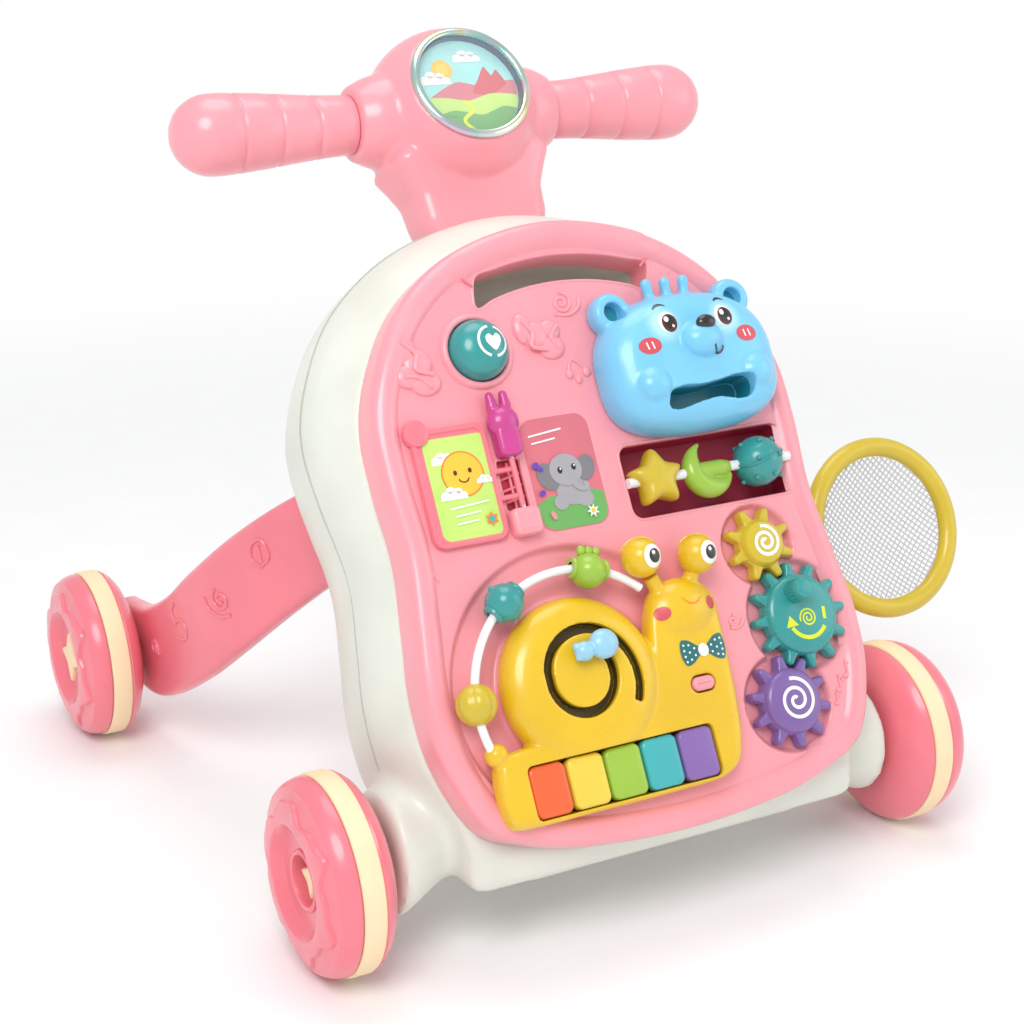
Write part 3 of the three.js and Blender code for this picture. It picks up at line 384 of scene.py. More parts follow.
def smooth_line(points, count):
    """Open smooth line through a few points."""
    pts = np.array(points, float)
    ends = np.vstack([2 * pts[0] - pts[1], pts, 2 * pts[-1] - pts[-2]])
    out = []
    for u in np.linspace(0, len(pts) - 1, count):
        i = min(int(u), len(pts) - 2)
        t = u - i
        p0, p1, p2, p3 = ends[i], ends[i + 1], ends[i + 2], ends[i + 3]
        out.append(tuple(0.5 * (2 * p1 + (p2 - p0) * t + (2 * p0 - 5 * p1 + 4 * p2 - p3) * t**2
                                + (3 * p1 - p0 - 3 * p2 + p3) * t**3)))
    return out


def round_rect(cx, cy, w, h, r, n=8):
    points = []
    for qx, qy, start in ((1, 1, 0), (-1, 1, 90), (-1, -1, 180), (1, -1, 270)):
        for k in range(n + 1):
            a = radians(start + 90 * k / n)
            points.append((cx + qx * (w / 2 - r) + r * cos(a), cy + qy * (h / 2 - r) + r * sin(a)))
    return points


def ellipse(cx, cy, rx, ry, turn=0.0, n=36):
    c, s = cos(radians(turn)), sin(radians(turn))
    points = []
    for i in range(n):
        u, v = rx * cos(2 * pi * i / n), ry * sin(2 * pi * i / n)
        points.append((cx + u * c - v * s, cy + u * s + v * c))
    return points


def arc(cx, cy, r, start, end, n=24):
    return [(cx + r * cos(radians(start + (end - start) * k / (n - 1))),
             cy + r * sin(radians(start + (end - start) * k / (n - 1)))) for k in range(n)]


def spiral(cx, cy, r0, r1, start, turns, n=60):
    points = []
    for k in range(n):
        t = k / (n - 1)
        a = radians(start) + 2 * pi * turns * t
        r = r0 + (r1 - r0) * t
        points.append((cx + r * cos(a), cy + r * sin(a)))
    return points


def to_object(shape):
    mesh = bpy.data.meshes.new("scratch")
    mesh.from_pydata([tuple(v) for v in shape[0]], [], [tuple(f) for f in shape[1]])
    bm = bmesh.new()
    bm.from_mesh(mesh)
    bmesh.ops.recalc_face_normals(bm, faces=bm.faces)
    bm.to_mesh(mesh)
    bm.free()
    ob = bpy.data.objects.new("scratch", mesh)
    bpy.context.scene.collection.objects.link(ob)
    return ob


def evaluated(ob):
    graph = bpy.context.evaluated_depsgraph_get()
    mesh = ob.evaluated_get(graph).to_mesh()
    verts = [tuple(v.co) for v in mesh.vertices]
    faces = [tuple(p.vertices) for p in mesh.polygons]
    ob.evaluated_get(graph).to_mesh_clear()
    return verts, faces


def fuse(shapes, voxel, soften=4, cuts=(), last_soften=2):
    """One moulded skin over several closed shapes, with soft joins, then cut by closed cutters."""
    ob = to_object(combine(*shapes))
    blend = ob.modifiers.new("skin", "REMESH")
    blend.mode = "VOXEL"
    blend.voxel_size = voxel
    calm = ob.modifiers.new("calm", "SMOOTH")
    calm.factor, calm.iterations = 0.5, soften
    tools = []
    for cutter in cuts:
        tool = to_object(cutter)
        tools.append(tool)
        cut = ob.modifiers.new("cut", "BOOLEAN")
        cut.operation, cut.object, cut.solver = "DIFFERENCE", tool, "EXACT"
    if cuts:
        again = ob.modifiers.new("again", "REMESH")
        again.mode = "VOXEL"
        again.voxel_size = voxel
        last = ob.modifiers.new("ease", "SMOOTH")
        last.factor, last.iterations = 0.5, last_soften
    shape = evaluated(ob)
    for scrap in [ob, *tools]:
        bpy.data.objects.remove(scrap, do_unlink=True)
    return shape


class Drape:
    """Drops flat prints along -z on to a shape."""

    def __init__(self, shape, gap=0.14):
        self.tree = BVHTree.FromPolygons([Vector(v) for v in shape[0]], shape[1])
        self.gap = gap

    def drop(self, x, y, lift):
        hit = self.tree.ray_cast(Vector((x, y, 90)), Vector((0, 0, -1)))
        return (x, y, (hit[0].z if hit[0] else 0) + self.gap + lift)

    def patch(self, outline, lift=0.0, rings=5):
        cx = sum(p[0] for p in outline) / len(outline)
        cy = sum(p[1] for p in outline) / len(outline)
        levels = []
        for k in range(rings, 0, -1):
            levels.append([self.drop(cx + (x - cx) * k / rings, cy + (y - cy) * k / rings, lift)
                           for x, y in outline])
        verts, faces = loft(levels, (False, False))
        verts.append(self.drop(cx, cy, lift))
        base, n = (rings - 1) * len(outline), len(outline)
        faces += [(base + i, base + (i + 1) % n, len(verts) - 1) for i in range(n)]
        return verts, faces

    def stroke(self, line, width, lift=0.0, taper=False):
        verts, faces = [], []
        n = len(line)
        for i, (x, y) in enumerate(line):
            a, b = line[max(0, i - 1)], line[min(n - 1, i + 1)]
            tx, ty = b[0] - a[0], b[1] - a[1]
            k = hypot(tx, ty) or 1.0
            w = width / 2 * (0.35 + 0.65 * sin(pi * i / (n - 1)) if taper else 1.0)
            for s in (-1, 0, 1):
                verts.append(self.drop(x - ty / k * w * s, y + tx / k * w * s, lift))
            if i:
                j = 3 * i
                faces += [(j - 3, j, j + 1, j - 2), (j - 2, j + 1, j + 2, j - 1)]
        return verts, faces


class Flat(Drape):
    """Prints on a flat face at one height."""

    def __init__(self, z):
        self.z = z

    def drop(self, x, y, lift):
        return (x, y, self.z + lift)


def ease(t):
    t = np.clip(t, 0, 1)
    return t * t * (3 - 2 * t)


# ---------- front panel ----------

HALF_WIDTHS = [(105, 121), (140, 136), (176, 139), (211, 135), (250, 130.5), (290, 132.5), (325, 131),
               (355, 120), (385, 100), (407, 72)]
PANEL_OUTLINE = smooth_loop(
    [(0, 78), (58, 82), (95, 91)] + [(x, y) for y, x in HALF_WIDTHS] + [(38, 420), (0, 425), (-38, 420)]
    + [(-x, y) for y, x in reversed(HALF_WIDTHS)] + [(-95, 91), (-58, 82)], 220)
MODULE = 4.6
CRANK_TEETH, CRANK_X, CRANK_Y = 12, 97.5, 177.5
BEARINGS = {"yellow_gear": 107.3, "purple_gear": 246}
GEARS = {"crank_gear": (CRANK_TEETH, CRANK_X, CRANK_Y)}
for gear_name, gear_teeth in (("yellow_gear", 8), ("purple_gear", 10)):
    reach, bearing = MODULE * (gear_teeth + CRANK_TEETH) / 2, radians(BEARINGS[gear_name])
    GEARS[gear_name] = (gear_teeth, CRANK_X + reach * cos(bearing), CRANK_Y + reach * sin(bearing))
BEAD_RECT = round_rect(64.2, 269, 107.5, 41, 6)
SLOT_BAND = arc(0, 239.5, 164.5, 69, 111, 40) + arc(0, 239.5, 150, 111, 69, 40)
SLOT_OUTLINE = smooth_loop(SLOT_BAND[::4] + [SLOT_BAND[79]], 110, 0.45)
WINDOW = round_rect(-58.5, 279.3, 13, 27.4, 1.5)
BUTTON = (-60.5, 355)


def inside(outline, x, y):
    """Which points of two arrays lie inside a closed outline."""
    hit = np.zeros(x.shape, bool)
    for (x0, y0), (x1, y1) in zip(outline, outline[1:] + outline[:1]):
        if y0 != y1:
            crosses = (y0 > y) != (y1 > y)
            hit ^= crosses & (x < (x1 - x0) * (y - y0) / (y1 - y0) + x0)
    return hit


def field_height(x, y):
    """Face of the panel: a round trough for the beads and three dishes for the gears."""
    h = np.zeros_like(x)
    r = np.hypot(x + 47, y - 166)
    trough = ease((77.5 - r) / 4) * ease((r - 47) / 3) * ease((y - 102) / 4)
    h -= 4 * trough
    dish = np.zeros_like(x)
    for teeth, gx, gy in GEARS.values():
        rim = MODULE * teeth / 2 + 5.1
        dish = np.maximum(dish, ease((rim + 0.8 - np.hypot(x - gx, y - gy)) / 3))
    return np.minimum(h, -4.4 * dish)


def panel_face():
    step = 1.2
    xs, ys = np.arange(-141, 142, step), np.arange(76, 428, step)
    x, y = np.meshgrid(xs, ys)
    h = field_height(x, y)
    cx, cy = x[:-1, :-1] + step / 2, y[:-1, :-1] + step / 2
    keep = inside(offset(PANEL_OUTLINE, -12.5), cx, cy)
    for hole in (offset(BEAD_RECT, 0.9), offset(SLOT_OUTLINE, 0.9), offset(WINDOW, 0.7), ellipse(*BUTTON, 19, 19)):
        keep &= ~inside(hole, cx, cy)
    index = -np.ones(x.shape, int)
    verts, faces = [], []
    for j, i in zip(*np.nonzero(keep)):
        corners = []
        for a, b in ((j, i), (j, i + 1), (j + 1, i + 1), (j + 1, i)):
            if index[a, b] < 0:
                index[a, b] = len(verts)
                verts.append((float(x[a, b]), float(y[a, b]), float(h[a, b])))
            corners.append(int(index[a, b]))
        faces.append(corners)
    return verts, faces


def panel_rim():
    levels = [(-19.7, -2), (-19.7, 0), (-7, 0), (-3.6, -0.2), (-1, -1), (0.8, -2.4), (1.9, -4.3), (2.75, -7),
              (2.9, -9.5), (2.2, -11.8), (1, -13.8), (-0.5, -15.6), (-1.8, -17.2)]
    rings = []
    for z, d in levels:
        ring = []
        for x, y in offset(PANEL_OUTLINE, d):
            grip = float(ease((63 - abs(x)) / 3.0)) * (y > 380) * (z > -3.6)
            ring.append((x, y, z + 1.7 * grip))
        rings.append(ring)
    return loft(rings, (False, False))


def lip(outline, deep):
    return stack(outline, [(-0.8, 2.6), (0.05, 1.9), (0.35, 1.2), (0.2, 0.6), (-0.6, 0.12), (-1.8, 0), (deep, 0)],
                 (False, False))


collar = revolve([(17.6, -8), (17.6, 1.4), (18.2, 2.3), (19.3, 2.6), (20.5, 2.1), (21.5, 0.9), (22.3, -0.6)], 64)
knuckle = stack(round_rect(-58.5, 257.6, 17, 15.6, 3.5), [(-1, 0), (6, 0), (7.8, -0.6), (8.6, -1.8), (8.8, -3.6)])
make("front_panel_shell",
     combine(panel_face(), panel_rim(), lip(BEAD_RECT, -4), lip(SLOT_OUTLINE, -19.6), lip(WINDOW, -4.5),
             moved(collar, *BUTTON), knuckle),
     PINK, nodes=("front_panel",), smooth=50)
# dark crimson sheet lining the bead box: painted shade inside the recess
make("bead_box_painted_shade", stack(BEAD_RECT, [(-3.5, -0.02), (-20.5, -0.4), (-21.6, -2), (-21.6, -6)], (False, True)),
     RECESS_SHADE)
window_bars = [tube([(-58.5, 266.5, -2.6), (-58.5, 292, -2.6)], 0.8, 8)]
window_bars += [tube([(-64.6, s, -2.6), (-52.4, s + 2.5, -2.6)], 0.8, 8) for s in (270, 276.5, 283)]
make("book_window_bars", combine(*window_bars), ROSE)
# dark crimson floor and bed under the book window: painted shade inside the window
make("book_window_floor", stack(WINDOW, [(-4.4, -0.15), (-4.2, -0.15), (-1.2, -0.15)], (True, False)), RECESS_SHADE)
make("book_window_bed", stack(WINDOW, [(-4.2, -0.2), (-3.7, -0.2)]), RECESS_SHADE)


def relief_line(points, r=1.05, z=0.2, count=30):
    return tube([(x, y, z) for x, y in smooth_line(points, count)], r, 10, 0.9)


def note(x, y, size=1.0):
    """A small raised music note."""
    return combine(ball(x, y, 0.2, 2.6 * size, 2.0 * size, 1.2, 16, 10),
                   relief_line([(x + 2.1 * size, y), (x + 2.3 * size, y + 5 * size), (x + 2.1 * size, y + 10 * size)],
                               0.8, count=8),
                   relief_line([(x + 2.1 * size, y + 10 * size), (x + 4.6 * size, y + 8.4 * size),
                                (x + 5.2 * size, y + 5.6 * size)], 0.8, count=8))


def small_snail(x, y, r, flip=1):
    foot = [(x - flip * r * 0.9, y - r), (x + flip * r * 0.6, y - r * 1.15), (x + flip * r * 1.7, y - r * 0.5),
            (x + flip * r * 1.9, y + r * 0.4)]
    return combine(relief_line(spiral(x, y, r * 0.15, r, 200, 1.7, 40), 0.95, count=60), relief_line(foot, 0.95))


left_wing = [ball(-103, 361, 0, 6.5, 9, 3.4), ball(-97.5, 352, 0, 9, 9, 3.6), ball(-104, 346, 0, 8, 7, 3.2),
             ball(-95, 341.5, 0, 9.5, 7.5, 3.4),
             relief_line([(-105, 365), (-98, 357), (-100, 349), (-91, 345)], 1.3, 3.2),
             relief_line([(-107, 346), (-99, 344), (-93, 338)], 1.2, 3)]
right_wing = [ball(-30, 364, 0, 6, 9, 3.4), ball(-23, 359, 0, 8, 8.5, 3.6), ball(-14, 361, 0, 7, 6.5, 3.2),
              ball(-15, 351.5, 0, 8.5, 7, 3.4),
              relief_line([(-31, 368), (-26, 360), (-28, 353), (-19, 350)], 1.3, 3.2),
              relief_line([(-10, 363), (-15, 357), (-12, 350)], 1.2, 3)]
drops = [ball(-8, 335, 0.2, 2.4, 2.8, 1.6, 16, 10), ball(-3, 331.5, 0.2, 2.2, 2.6, 1.6, 16, 10),
         ball(3, 335, 0.2, 2.6, 2.9, 1.6, 16, 10), relief_line([(-8, 337), (-5, 343), (-1, 341), (2, 337)], 0.8)]
make("panel_reliefs", combine(*left_wing, *right_wing, *drops, small_snail(-2, 376, 6.2), small_snail(55, 182, 3.4),
                              note(-121, 229, 1.1), note(112, 131, 0.8), note(119, 138, 0.8), note(108, 124, 0.6)),
     PINK)
# deeper pink lines at the handle's creases: painted shade in the creases
creases = [relief_line([(s * 54, 391.5), (s * 60, 397), (s * 66, 403.5)], 0.7, 0.8, 12) for s in (-1, 1)]
make("handle_crease_shade", combine(*creases), DEEP)

# ---------- gears ----------


def gear_outline(teeth):
    rp = MODULE * teeth / 2
    points = []
    for k in range(teeth):
        a = 2 * pi * k / teeth
        for along, across in ((rp - 4.2, -3.5), (rp - 1.6, -2.9), (rp + 1.4, -2.5), (rp + 2.9, -1.5), (rp + 3.2, 0),
                              (rp + 2.9, 1.5), (rp + 1.4, 2.5), (rp - 1.6, 2.9), (rp - 4.2, 3.5)):
            points.append((along * cos(a) - across * sin(a), along * sin(a) + across * cos(a)))
    return points


def gear(name, mat, print_on):
    """A gear turned so that its teeth mesh with the crank's, with a print on its crown."""
    teeth, gx, gy = GEARS[name]
    phase = 0.0
    if name in BEARINGS:
        bearing, crank_pitch = radians(BEARINGS[name]), 2 * pi / CRANK_TEETH
        lead = (bearing % crank_pitch) / crank_pitch
        phase = bearing + pi + (0.5 + lead) * 2 * pi / teeth
    root = MODULE * teeth / 2 - 4.2
    turn = Matrix.Rotation(phase, 3, "Z")
    blank = stack(gear_outline(teeth), [(-3.5, -0.8), (-2.9, -0.1), (2.6, -0.1), (3.8, -0.5), (4.4, -1.2), (4.6, -2)])
    crown = revolve([(root - 0.4, 3.9), (root - 0.7, 5.4), (root - 1.6, 6.8), (root * 0.84, 7.8), (root * 0.7, 8.4),
                     (root * 0.45, 8.6), (0.01, 8.6)], 72)
    shapes = [moved(blank, turn=turn), crown]
    if name == "crank_gear":
        knob = [(-4 + (6.1 if k % 2 else 6.6) * cos(pi * k / 18), 13 + (6.1 if k % 2 else 6.6) * sin(pi * k / 18))
                for k in range(36)]
        shapes.append(stack(knob, [(5, 0.0), (16.5, -0.2)]))
        shapes.append(stack(ellipse(-4, 13, 6.2, 6.2), [(16, 0), (18.6, 0), (20.2, -0.8), (20.9, -2.2), (21, -4)]))
    shape = moved(combine(*shapes), gx, gy)
    make(name + "_body", shape, mat, body=name, nodes=(name,))
    print_on(Drape(moved(crown, gx, gy)), gx, gy, root, name)


def spiral_print(drape, gx, gy, root, name):
    curl = spiral(gx, gy, 1.2, root * 0.66, 60, 2.1, 90)
    make(name + "_spiral", drape.stroke(curl, 2.0), INK_WHITE, body=name)


def arrow_print(drape, gx, gy, root, name):
    curl = spiral(gx + 1, gy - 3, 0.8, 5.6, 120, 2.2, 60)
    sweep = arc(gx + 0.5, gy - 1.5, 12.6, 205, 322, 30)
    hx, hy = sweep[0]
    head = [(hx - 3.6, hy + 0.4), (hx + 4.6, hy + 0.8), (hx - 0.2, hy + 7.0)]
    bar = [(gx + 11.8, gy - 5.5), (gx + 12.6, gy + 1.5)]
    make(name + "_arrow", combine(drape.stroke(curl, 1.1), drape.stroke(sweep, 2.4), drape.patch(head, rings=2),
                                  drape.stroke(bar, 2.2)), INK_LIME, body=name)


gear("crank_gear", TEAL, arrow_print)
gear("yellow_gear", MUSTARD, spiral_print)
gear("purple_gear", PURPLE, spiral_print)

# ---------- spinners ----------

ROD_S, ROD_H = 268.5, 2.0
make("rod", moved(tube([(10, 0, 0), (118.4, 0, 0)], 2.9, 24), 0, ROD_S, ROD_H), WIRE_WHITE, nodes=("spinner_rod",))


def pillow(outline, levels):
    """Soft closed cushion over a star-like outline; levels are (height, scale about the middle)."""
    rings = [[(x * q, y * q, z) for x, y in outline] for z, q in levels]
    verts, faces = loft(rings, (False, False))
    n, last = len(outline), (len(levels) - 1) * len(outline)
    verts = [*verts, (0, 0, levels[0][0]), (0, 0, levels[-1][0])]
    faces += [(i, len(verts) - 2, (i + 1) % n) for i in range(n)]
    faces += [(last + i, last + (i + 1) % n, len(verts) - 1) for i in range(n)]
    return verts, faces


star = burst(10, 17.0, 11.2, 80, 0.42, start=pi / 2)
puffed = [(8.6 * sin(t), 1 - 0.62 * (1 - cos(t)) ** 1.3) for t in np.linspace(-1.5, 1.5, 17)]
make("star_body", moved(pillow(star, puffed), 27.6, ROD_S, ROD_H), MUSTARD, body="star_spinner",
     nodes=("star_spinner",), smooth=70)
moon_line, moon_r = [], []
for turn_deg in np.linspace(101, 340, 44):
    lean = radians(turn_deg - 40.5)
    near = 9.08 * cos(lean) + (12.4**2 - (9.08 * sin(lean)) ** 2) ** 0.5
    moon_r.append(max(1.3, (16.3 - near) / 2))
    mid = 16.3 - moon_r[-1]
    moon_line.append((mid * cos(radians(turn_deg)), mid * sin(radians(turn_deg)), 0))
moon_hub = tube([(-14.4, 0, 0), (-9, 0, 0), (9, 0, 0), (14.4, 0, 0)], [3.6, 4.9, 4.9, 3.6], 20)
moon = fuse([tube(moon_line, moon_r, 28), ball(*moon_line[0], 1.4, segments=12, rings=8),
             ball(*moon_line[-1], 1.4, segments=12, rings=8), moon_hub], 0.7, 3)
make("moon_body", moved(moon, 62.5, ROD_S, ROD_H), GREEN, body="moon_spinner", nodes=("moon_spinner",))
studs = [ball(15.0 * cos(a) * cos(t), 15.0 * sin(t), 15.0 * sin(a) * cos(t), 1.5, 1.5, 1.5, 10, 7)
         for t in (-0.75, 0.0, 0.75) for a in np.linspace(0, 2 * pi, 7)[:-1] + t]
band = [(15.15 * cos(a), 3.2 * sin(2 * a), 15.0 * sin(a)) for a in np.linspace(0, 2 * pi, 60)[:-1]]
make("ball_body", moved(combine(ball(0, 0, 0, 14.6), *studs, tube(band, 0.5, 8, closed=True)), 97, ROD_S, ROD_H),
     TEAL, body="ball_spinner", nodes=("ball_spinner",))

# ---------- dome button ----------

dome = revolve([(19, -8.9), (19, -7.1), (17.1, -7), (17.1, 2), (16.7, 4.8), (15.4, 7.8), (13.2, 10.4), (10.2, 12.4),
                (6.6, 13.6), (3, 14.1), (0.01, 14.2)], 72)
dome = moved(dome, *BUTTON)
make("dome_cap", dome, TEAL, body="dome_button", nodes=("dome_button",))
dome_drape = Drape(dome)
heart = smooth_loop([(0, -5.4), (4.4, -0.8), (4.6, 2.6), (2.3, 4.2), (0, 2.4), (-2.3, 4.2), (-4.6, 2.6), (-4.4, -0.8)],
                    48, 0.42)
heart = [(BUTTON[0] + 4.6 + x, BUTTON[1] + 1.5 + y) for x, y in heart]
rounds = [dome_drape.stroke(arc(BUTTON[0] + 4.2, BUTTON[1] + 1.6, 8.6, start, start + 155, 30), 1.5)
          for start in (95, 275)]
make("dome_heart", combine(dome_drape.patch(heart), *rounds), INK_WHITE, body="dome_button")

# ---------- flip book ----------

LEAF = round_rect(-91.2, 283, 44.6, 65, 7)
leaf = combine(
    stack(LEAF, [(0.5, -0.6), (1, 0), (3.2, 0), (4, -0.5), (4.3, -1.4), (4.1, -2.6), (3.2, -3.2), (3.1, -4)]),
    stack(ellipse(-109.5, 314, 7.4, 7.4), [(0.8, -0.6), (1.4, 0), (4, 0), (4.9, -0.6), (5.3, -2), (5.3, -4)]),
    tube([(-58.5, 266.3, 5.2), (-58.5, 292.4, 5.2)], 1.7, 20),
    *[tube([(-70, y, 3), (-60, y, 4.6)], 1.5, 12) for y in (272.2, 287.2)])
make("book_leaf", leaf, DEEP, body="book_page", nodes=("book_page",))


def cloud(cx, cy, k):
    lobes = [(-5, 0, 3.4), (-1.5, 2.2, 3.6), (3, 1.6, 3.2), (6, -0.2, 2.6)]
    outline = []
    for dx, dy, r in lobes:
        outline += arc(cx + dx * k, cy + dy * k, r * k, 150, 30, 8)
    return outline[::-1] + [(cx - 8.2 * k, cy - 1.6 * k), (cx + 8.4 * k, cy - 1.8 * k)]


def prints(prefix, place_at, body, items):
    for i, (kind, mat, shape, *rest) in enumerate(items):
        lift = 0.07 * i
        if kind == "patch":
            make(f"{prefix}_{i}", place_at.patch(shape, lift, 3), mat, body=body)
        else:
            make(f"{prefix}_{i}", place_at.stroke(shape, rest[0], lift), mat, body=body)


card = Flat(3.2)
card_items = [
    ("patch", CARD_LIME, round_rect(-88.7, 282, 38, 56, 5)),
    ("patch", INK_WHITE, cloud(-97, 297, 0.9)),
    ("patch", CARD_ORANGE, ellipse(-88, 289, 12.6, 12.6)),
    ("patch", CARD_SUN, ellipse(-88, 289, 11.7, 11.7)),
    ("patch", INK_WHITE, cloud(-96, 277.5, 0.95)),
    ("patch", INK_WHITE, cloud(-76, 283.5, 0.6)),
    ("stroke", INK_BROWN, arc(-88, 287.6, 3.2, 200, 340, 10), 0.7),
    ("patch", INK_BROWN, ellipse(-92.4, 290, 1.1, 1.4, 0, 12)),
    ("patch", INK_BROWN, ellipse(-83.6, 290.4, 1.1, 1.4, 0, 12)),
    ("stroke", INK_WHITE, [(-100, 271), (-77, 272.6)], 1.0),
    ("stroke", INK_WHITE, [(-98, 266.6), (-83, 267.6)], 0.9),
    ("stroke", INK_WHITE, [(-98, 262.4), (-85, 263.2)], 0.9),
    ("patch", CARD_ORANGE, burst(12, 2.4, 3.9, 40, cx=-77.5, cy=262.5)),
    ("patch", KEY_TEAL, ellipse(-77.5, 262.5, 1.7, 1.7, 0, 16)),
]
prints("sun_card", card, "book_page", card_items)

page = Flat(0.25)
EL_X, EL_Y = -26.5, 277
right_items = [
    ("patch", CARD_ROSE, round_rect(-26.1, 281.5, 42.6, 63, 8)),
    ("patch", CARD_GRASS, [(-47, 266), (-38, 269.5), (-26, 268), (-14, 270.5), (-5.2, 267.5), (-5.2, 258), (-8, 252),
                           (-13, 250.3), (-39, 250.3), (-45, 253), (-47.3, 259)]),
    ("stroke", INK_WHITE, [(-43, 303.6), (-22, 305.6)], 1.0),
    ("stroke", INK_WHITE, [(-42, 299.4), (-27, 300.8)], 0.9),
    ("patch", CARD_GREY, ellipse(EL_X + 3, EL_Y - 6, 10.5, 8.5)),
    ("patch", CARD_GREY, ellipse(EL_X + 9, EL_Y - 12, 5.4, 4.4)),
    ("patch", CARD_GREY, ellipse(EL_X - 6, EL_Y - 12, 4.6, 4.2)),
    ("patch", CARD_DARK, ellipse(EL_X - 10.5, EL_Y + 3, 6.2, 8.2, 24)),
    ("patch", CARD_DARK, ellipse(EL_X + 13.5, EL_Y + 5, 5.6, 7.4, -24)),
    ("patch", CARD_GREY, ellipse(EL_X + 1, EL_Y + 5.5, 10, 9)),
    ("stroke", CARD_GREY, smooth_line([(EL_X + 4, EL_Y + 2), (EL_X + 5.5, EL_Y - 4), (EL_X + 10, EL_Y - 6),
                                       (EL_X + 12, EL_Y - 3)], 16), 3.6),
    ("patch", INK, ellipse(EL_X - 2.6, EL_Y + 5.6, 1.5, 1.9, 0, 16)),
    ("patch", INK, ellipse(EL_X + 6.2, EL_Y + 6.4, 1.4, 1.8, 0, 16)),
    ("patch", INK_WHITE, ellipse(EL_X - 2.2, EL_Y + 6.3, 0.5, 0.6, 0, 10)),
    ("patch", INK_WHITE, ellipse(EL_X + 6.6, EL_Y + 7.1, 0.5, 0.6, 0, 10)),
    ("patch", INK_WHITE, burst(14, 2, 4, 56, cx=-15, cy=257.5)),
    ("patch", CARD_SUN, ellipse(-15, 257.5, 1.4, 1.4, 0, 14)),
    ("patch", CARD_VIOLET, ellipse(-43.5, 287, 2.4, 1.6, 40, 16)),
    ("patch", CARD_VIOLET, ellipse(-41, 285, 2.0, 1.3, -30, 16)),
    ("patch", CARD_VIOLET, ellipse(-43, 271.5, 2.2, 1.5, 30, 16)),
    ("patch", ROSE, ellipse(-39.5, 258.5, 1.4, 2.6, 20, 16)),
]
prints("right_card", page, "frame", right_items)

ears = [tube([(x, 316, 5), (x * 1.01 + 0.6, 322, 5.4), (x * 1.01 + 0.6, 327.5, 5.2)], [2.6, 3.2, 2.5], 18)
        for x in (-62.6, -54.6)]
rabbit = fuse([stack(round_rect(-58.5, 302, 13.8, 17.4, 4), [(0.3, 0), (9, 0), (10.4, -0.8), (11, -2.4)]),
               ball(-58.5, 313, 5.4, 9.4, 9.2, 7.2), *ears,
               *[ball(x, 327.6, 5.2, 2.7, 3.0, 2.5, 16, 10) for x in (-62.7, -54.5)]], 0.55, 3,
              [block(-90, -30, 280, 345, -12, 0.3)])
make("rabbit_cap", rabbit, MAGENTA, nodes=("rabbit_hinge_cap",))

# ---------- bead arc ----------

WIRE = (-49, 161, 10, 66.5)
wire_line = [(x, y, WIRE[2]) for x, y in arc(WIRE[0], WIRE[1], WIRE[3], 197, 47, 70)]
make("bead_arc", tube(wire_line, 2.4, 18), WIRE_WHITE, nodes=("bead_wire",))


def bead(name, angle, mat, shapes):
    a = radians(angle)
    turn = Matrix.Rotation(a - pi / 2, 3, "Z")
    spot = (WIRE[0] + WIRE[3] * cos(a), WIRE[1] + WIRE[3] * sin(a), WIRE[2])
    make(name + "_body", moved(combine(*shapes), *spot, turn=turn), mat, body=name, nodes=(name,))


def ribbed(r, lobes, dent, along=1.0):
    """Ball with ribs running along local x, like a little pumpkin."""
    def dip(q, z, a):
        return q * (1 - dent * (1 - abs(cos(lobes * a / 2)))), z
    profile = [(r * sin(t), -r * along * cos(t)) for t in np.linspace(0.28, pi - 0.28, 22)]
    return moved(revolve(profile, 72, (True, True), dip), turn=Matrix.Rotation(pi / 2, 3, "Y"))


nubs = [ball(x, 9.6, 0, 2.5, 3.2, 2.5, 16, 10) for x in (-4.2, 0.2, 4.6)]
spike = tube([(0, 8, 0), (0, 10.4, 0), (0, 11.6, 0)], [4.2, 2.2, 0.9], 16)
fin = ball(0, -8.4, 0, 5.2, 3.0, 4.2, 20, 12)
collars = [moved(revolve([(3.2, -1.2), (5.6, -1.2), (6.0, 0), (5.6, 1.2), (3.2, 1.2)], 32), x=s * 9.4,
                 turn=Matrix.Rotation(pi / 2, 3, "Y")) for s in (-1, 1)]
bead("yellow_bead", 174.4, MUSTARD, [ribbed(11.1, 6, 0.09)])
bead("teal_bead", 123.5, TEAL, [ball(0, 0, 0, 10.6, 10.4, 10.8), spike, fin, *collars])
bead("green_bead", 75.4, GREEN, [ball(0, -1, 0, 10.2, 9.6, 10.6), *nubs, *collars])

# ---------- snail with piano keys ----------

SNAIL = smooth_loop([(-104, 99), (-60, 98.6), (-10, 98.6), (18, 99.5), (31, 106), (37, 122), (40, 148), (41, 176),
                     (41, 198), (31, 210), (16, 212), (3, 206), (-4, 192), (-9, 172), (-20, 150), (-60, 141),
                     (-96, 141), (-111, 136), (-114, 118), (-112, 104)], 170, 0.4)
EYES = {"left_eye": (-1.4, 225.4, 14.5), "right_eye": (33.8, 221.5, 14.5)}
KEYS_LEFT, KEYS_Y, KEY_PITCH = -97, 116.1, 22.9
KEY_WELL = round_rect(KEYS_LEFT + 2.5 * KEY_PITCH, KEYS_Y, 5 * KEY_PITCH, 28.6, 3.2)
SNAIL_BUTTON = (18.5, 152)


def track_point(angle):
    past = max(0, -185 - angle)
    r = 19 + past * 0.067
    return -54.5 + past * 0.012 + r * cos(radians(angle)), 169.5 + r * sin(radians(angle))


def track_band(half, z0, z1, caps=(True, True)):
    line = [track_point(a) for a in np.linspace(58, -395, 110)]
    left_side, right_side = [], []
    for i, (x, y) in enumerate(line):
        a, b = line[max(0, i - 1)], line[min(len(line) - 1, i + 1)]
        k = hypot(b[0] - a[0], b[1] - a[1])
        nx, ny = -(b[1] - a[1]) / k * half, (b[0] - a[0]) / k * half
        left_side.append((x + nx, y + ny))
        right_side.append((x - nx, y - ny))
    return stack((left_side + right_side[::-1])[::-1], [(z0, 0), (z1, 0)], caps)


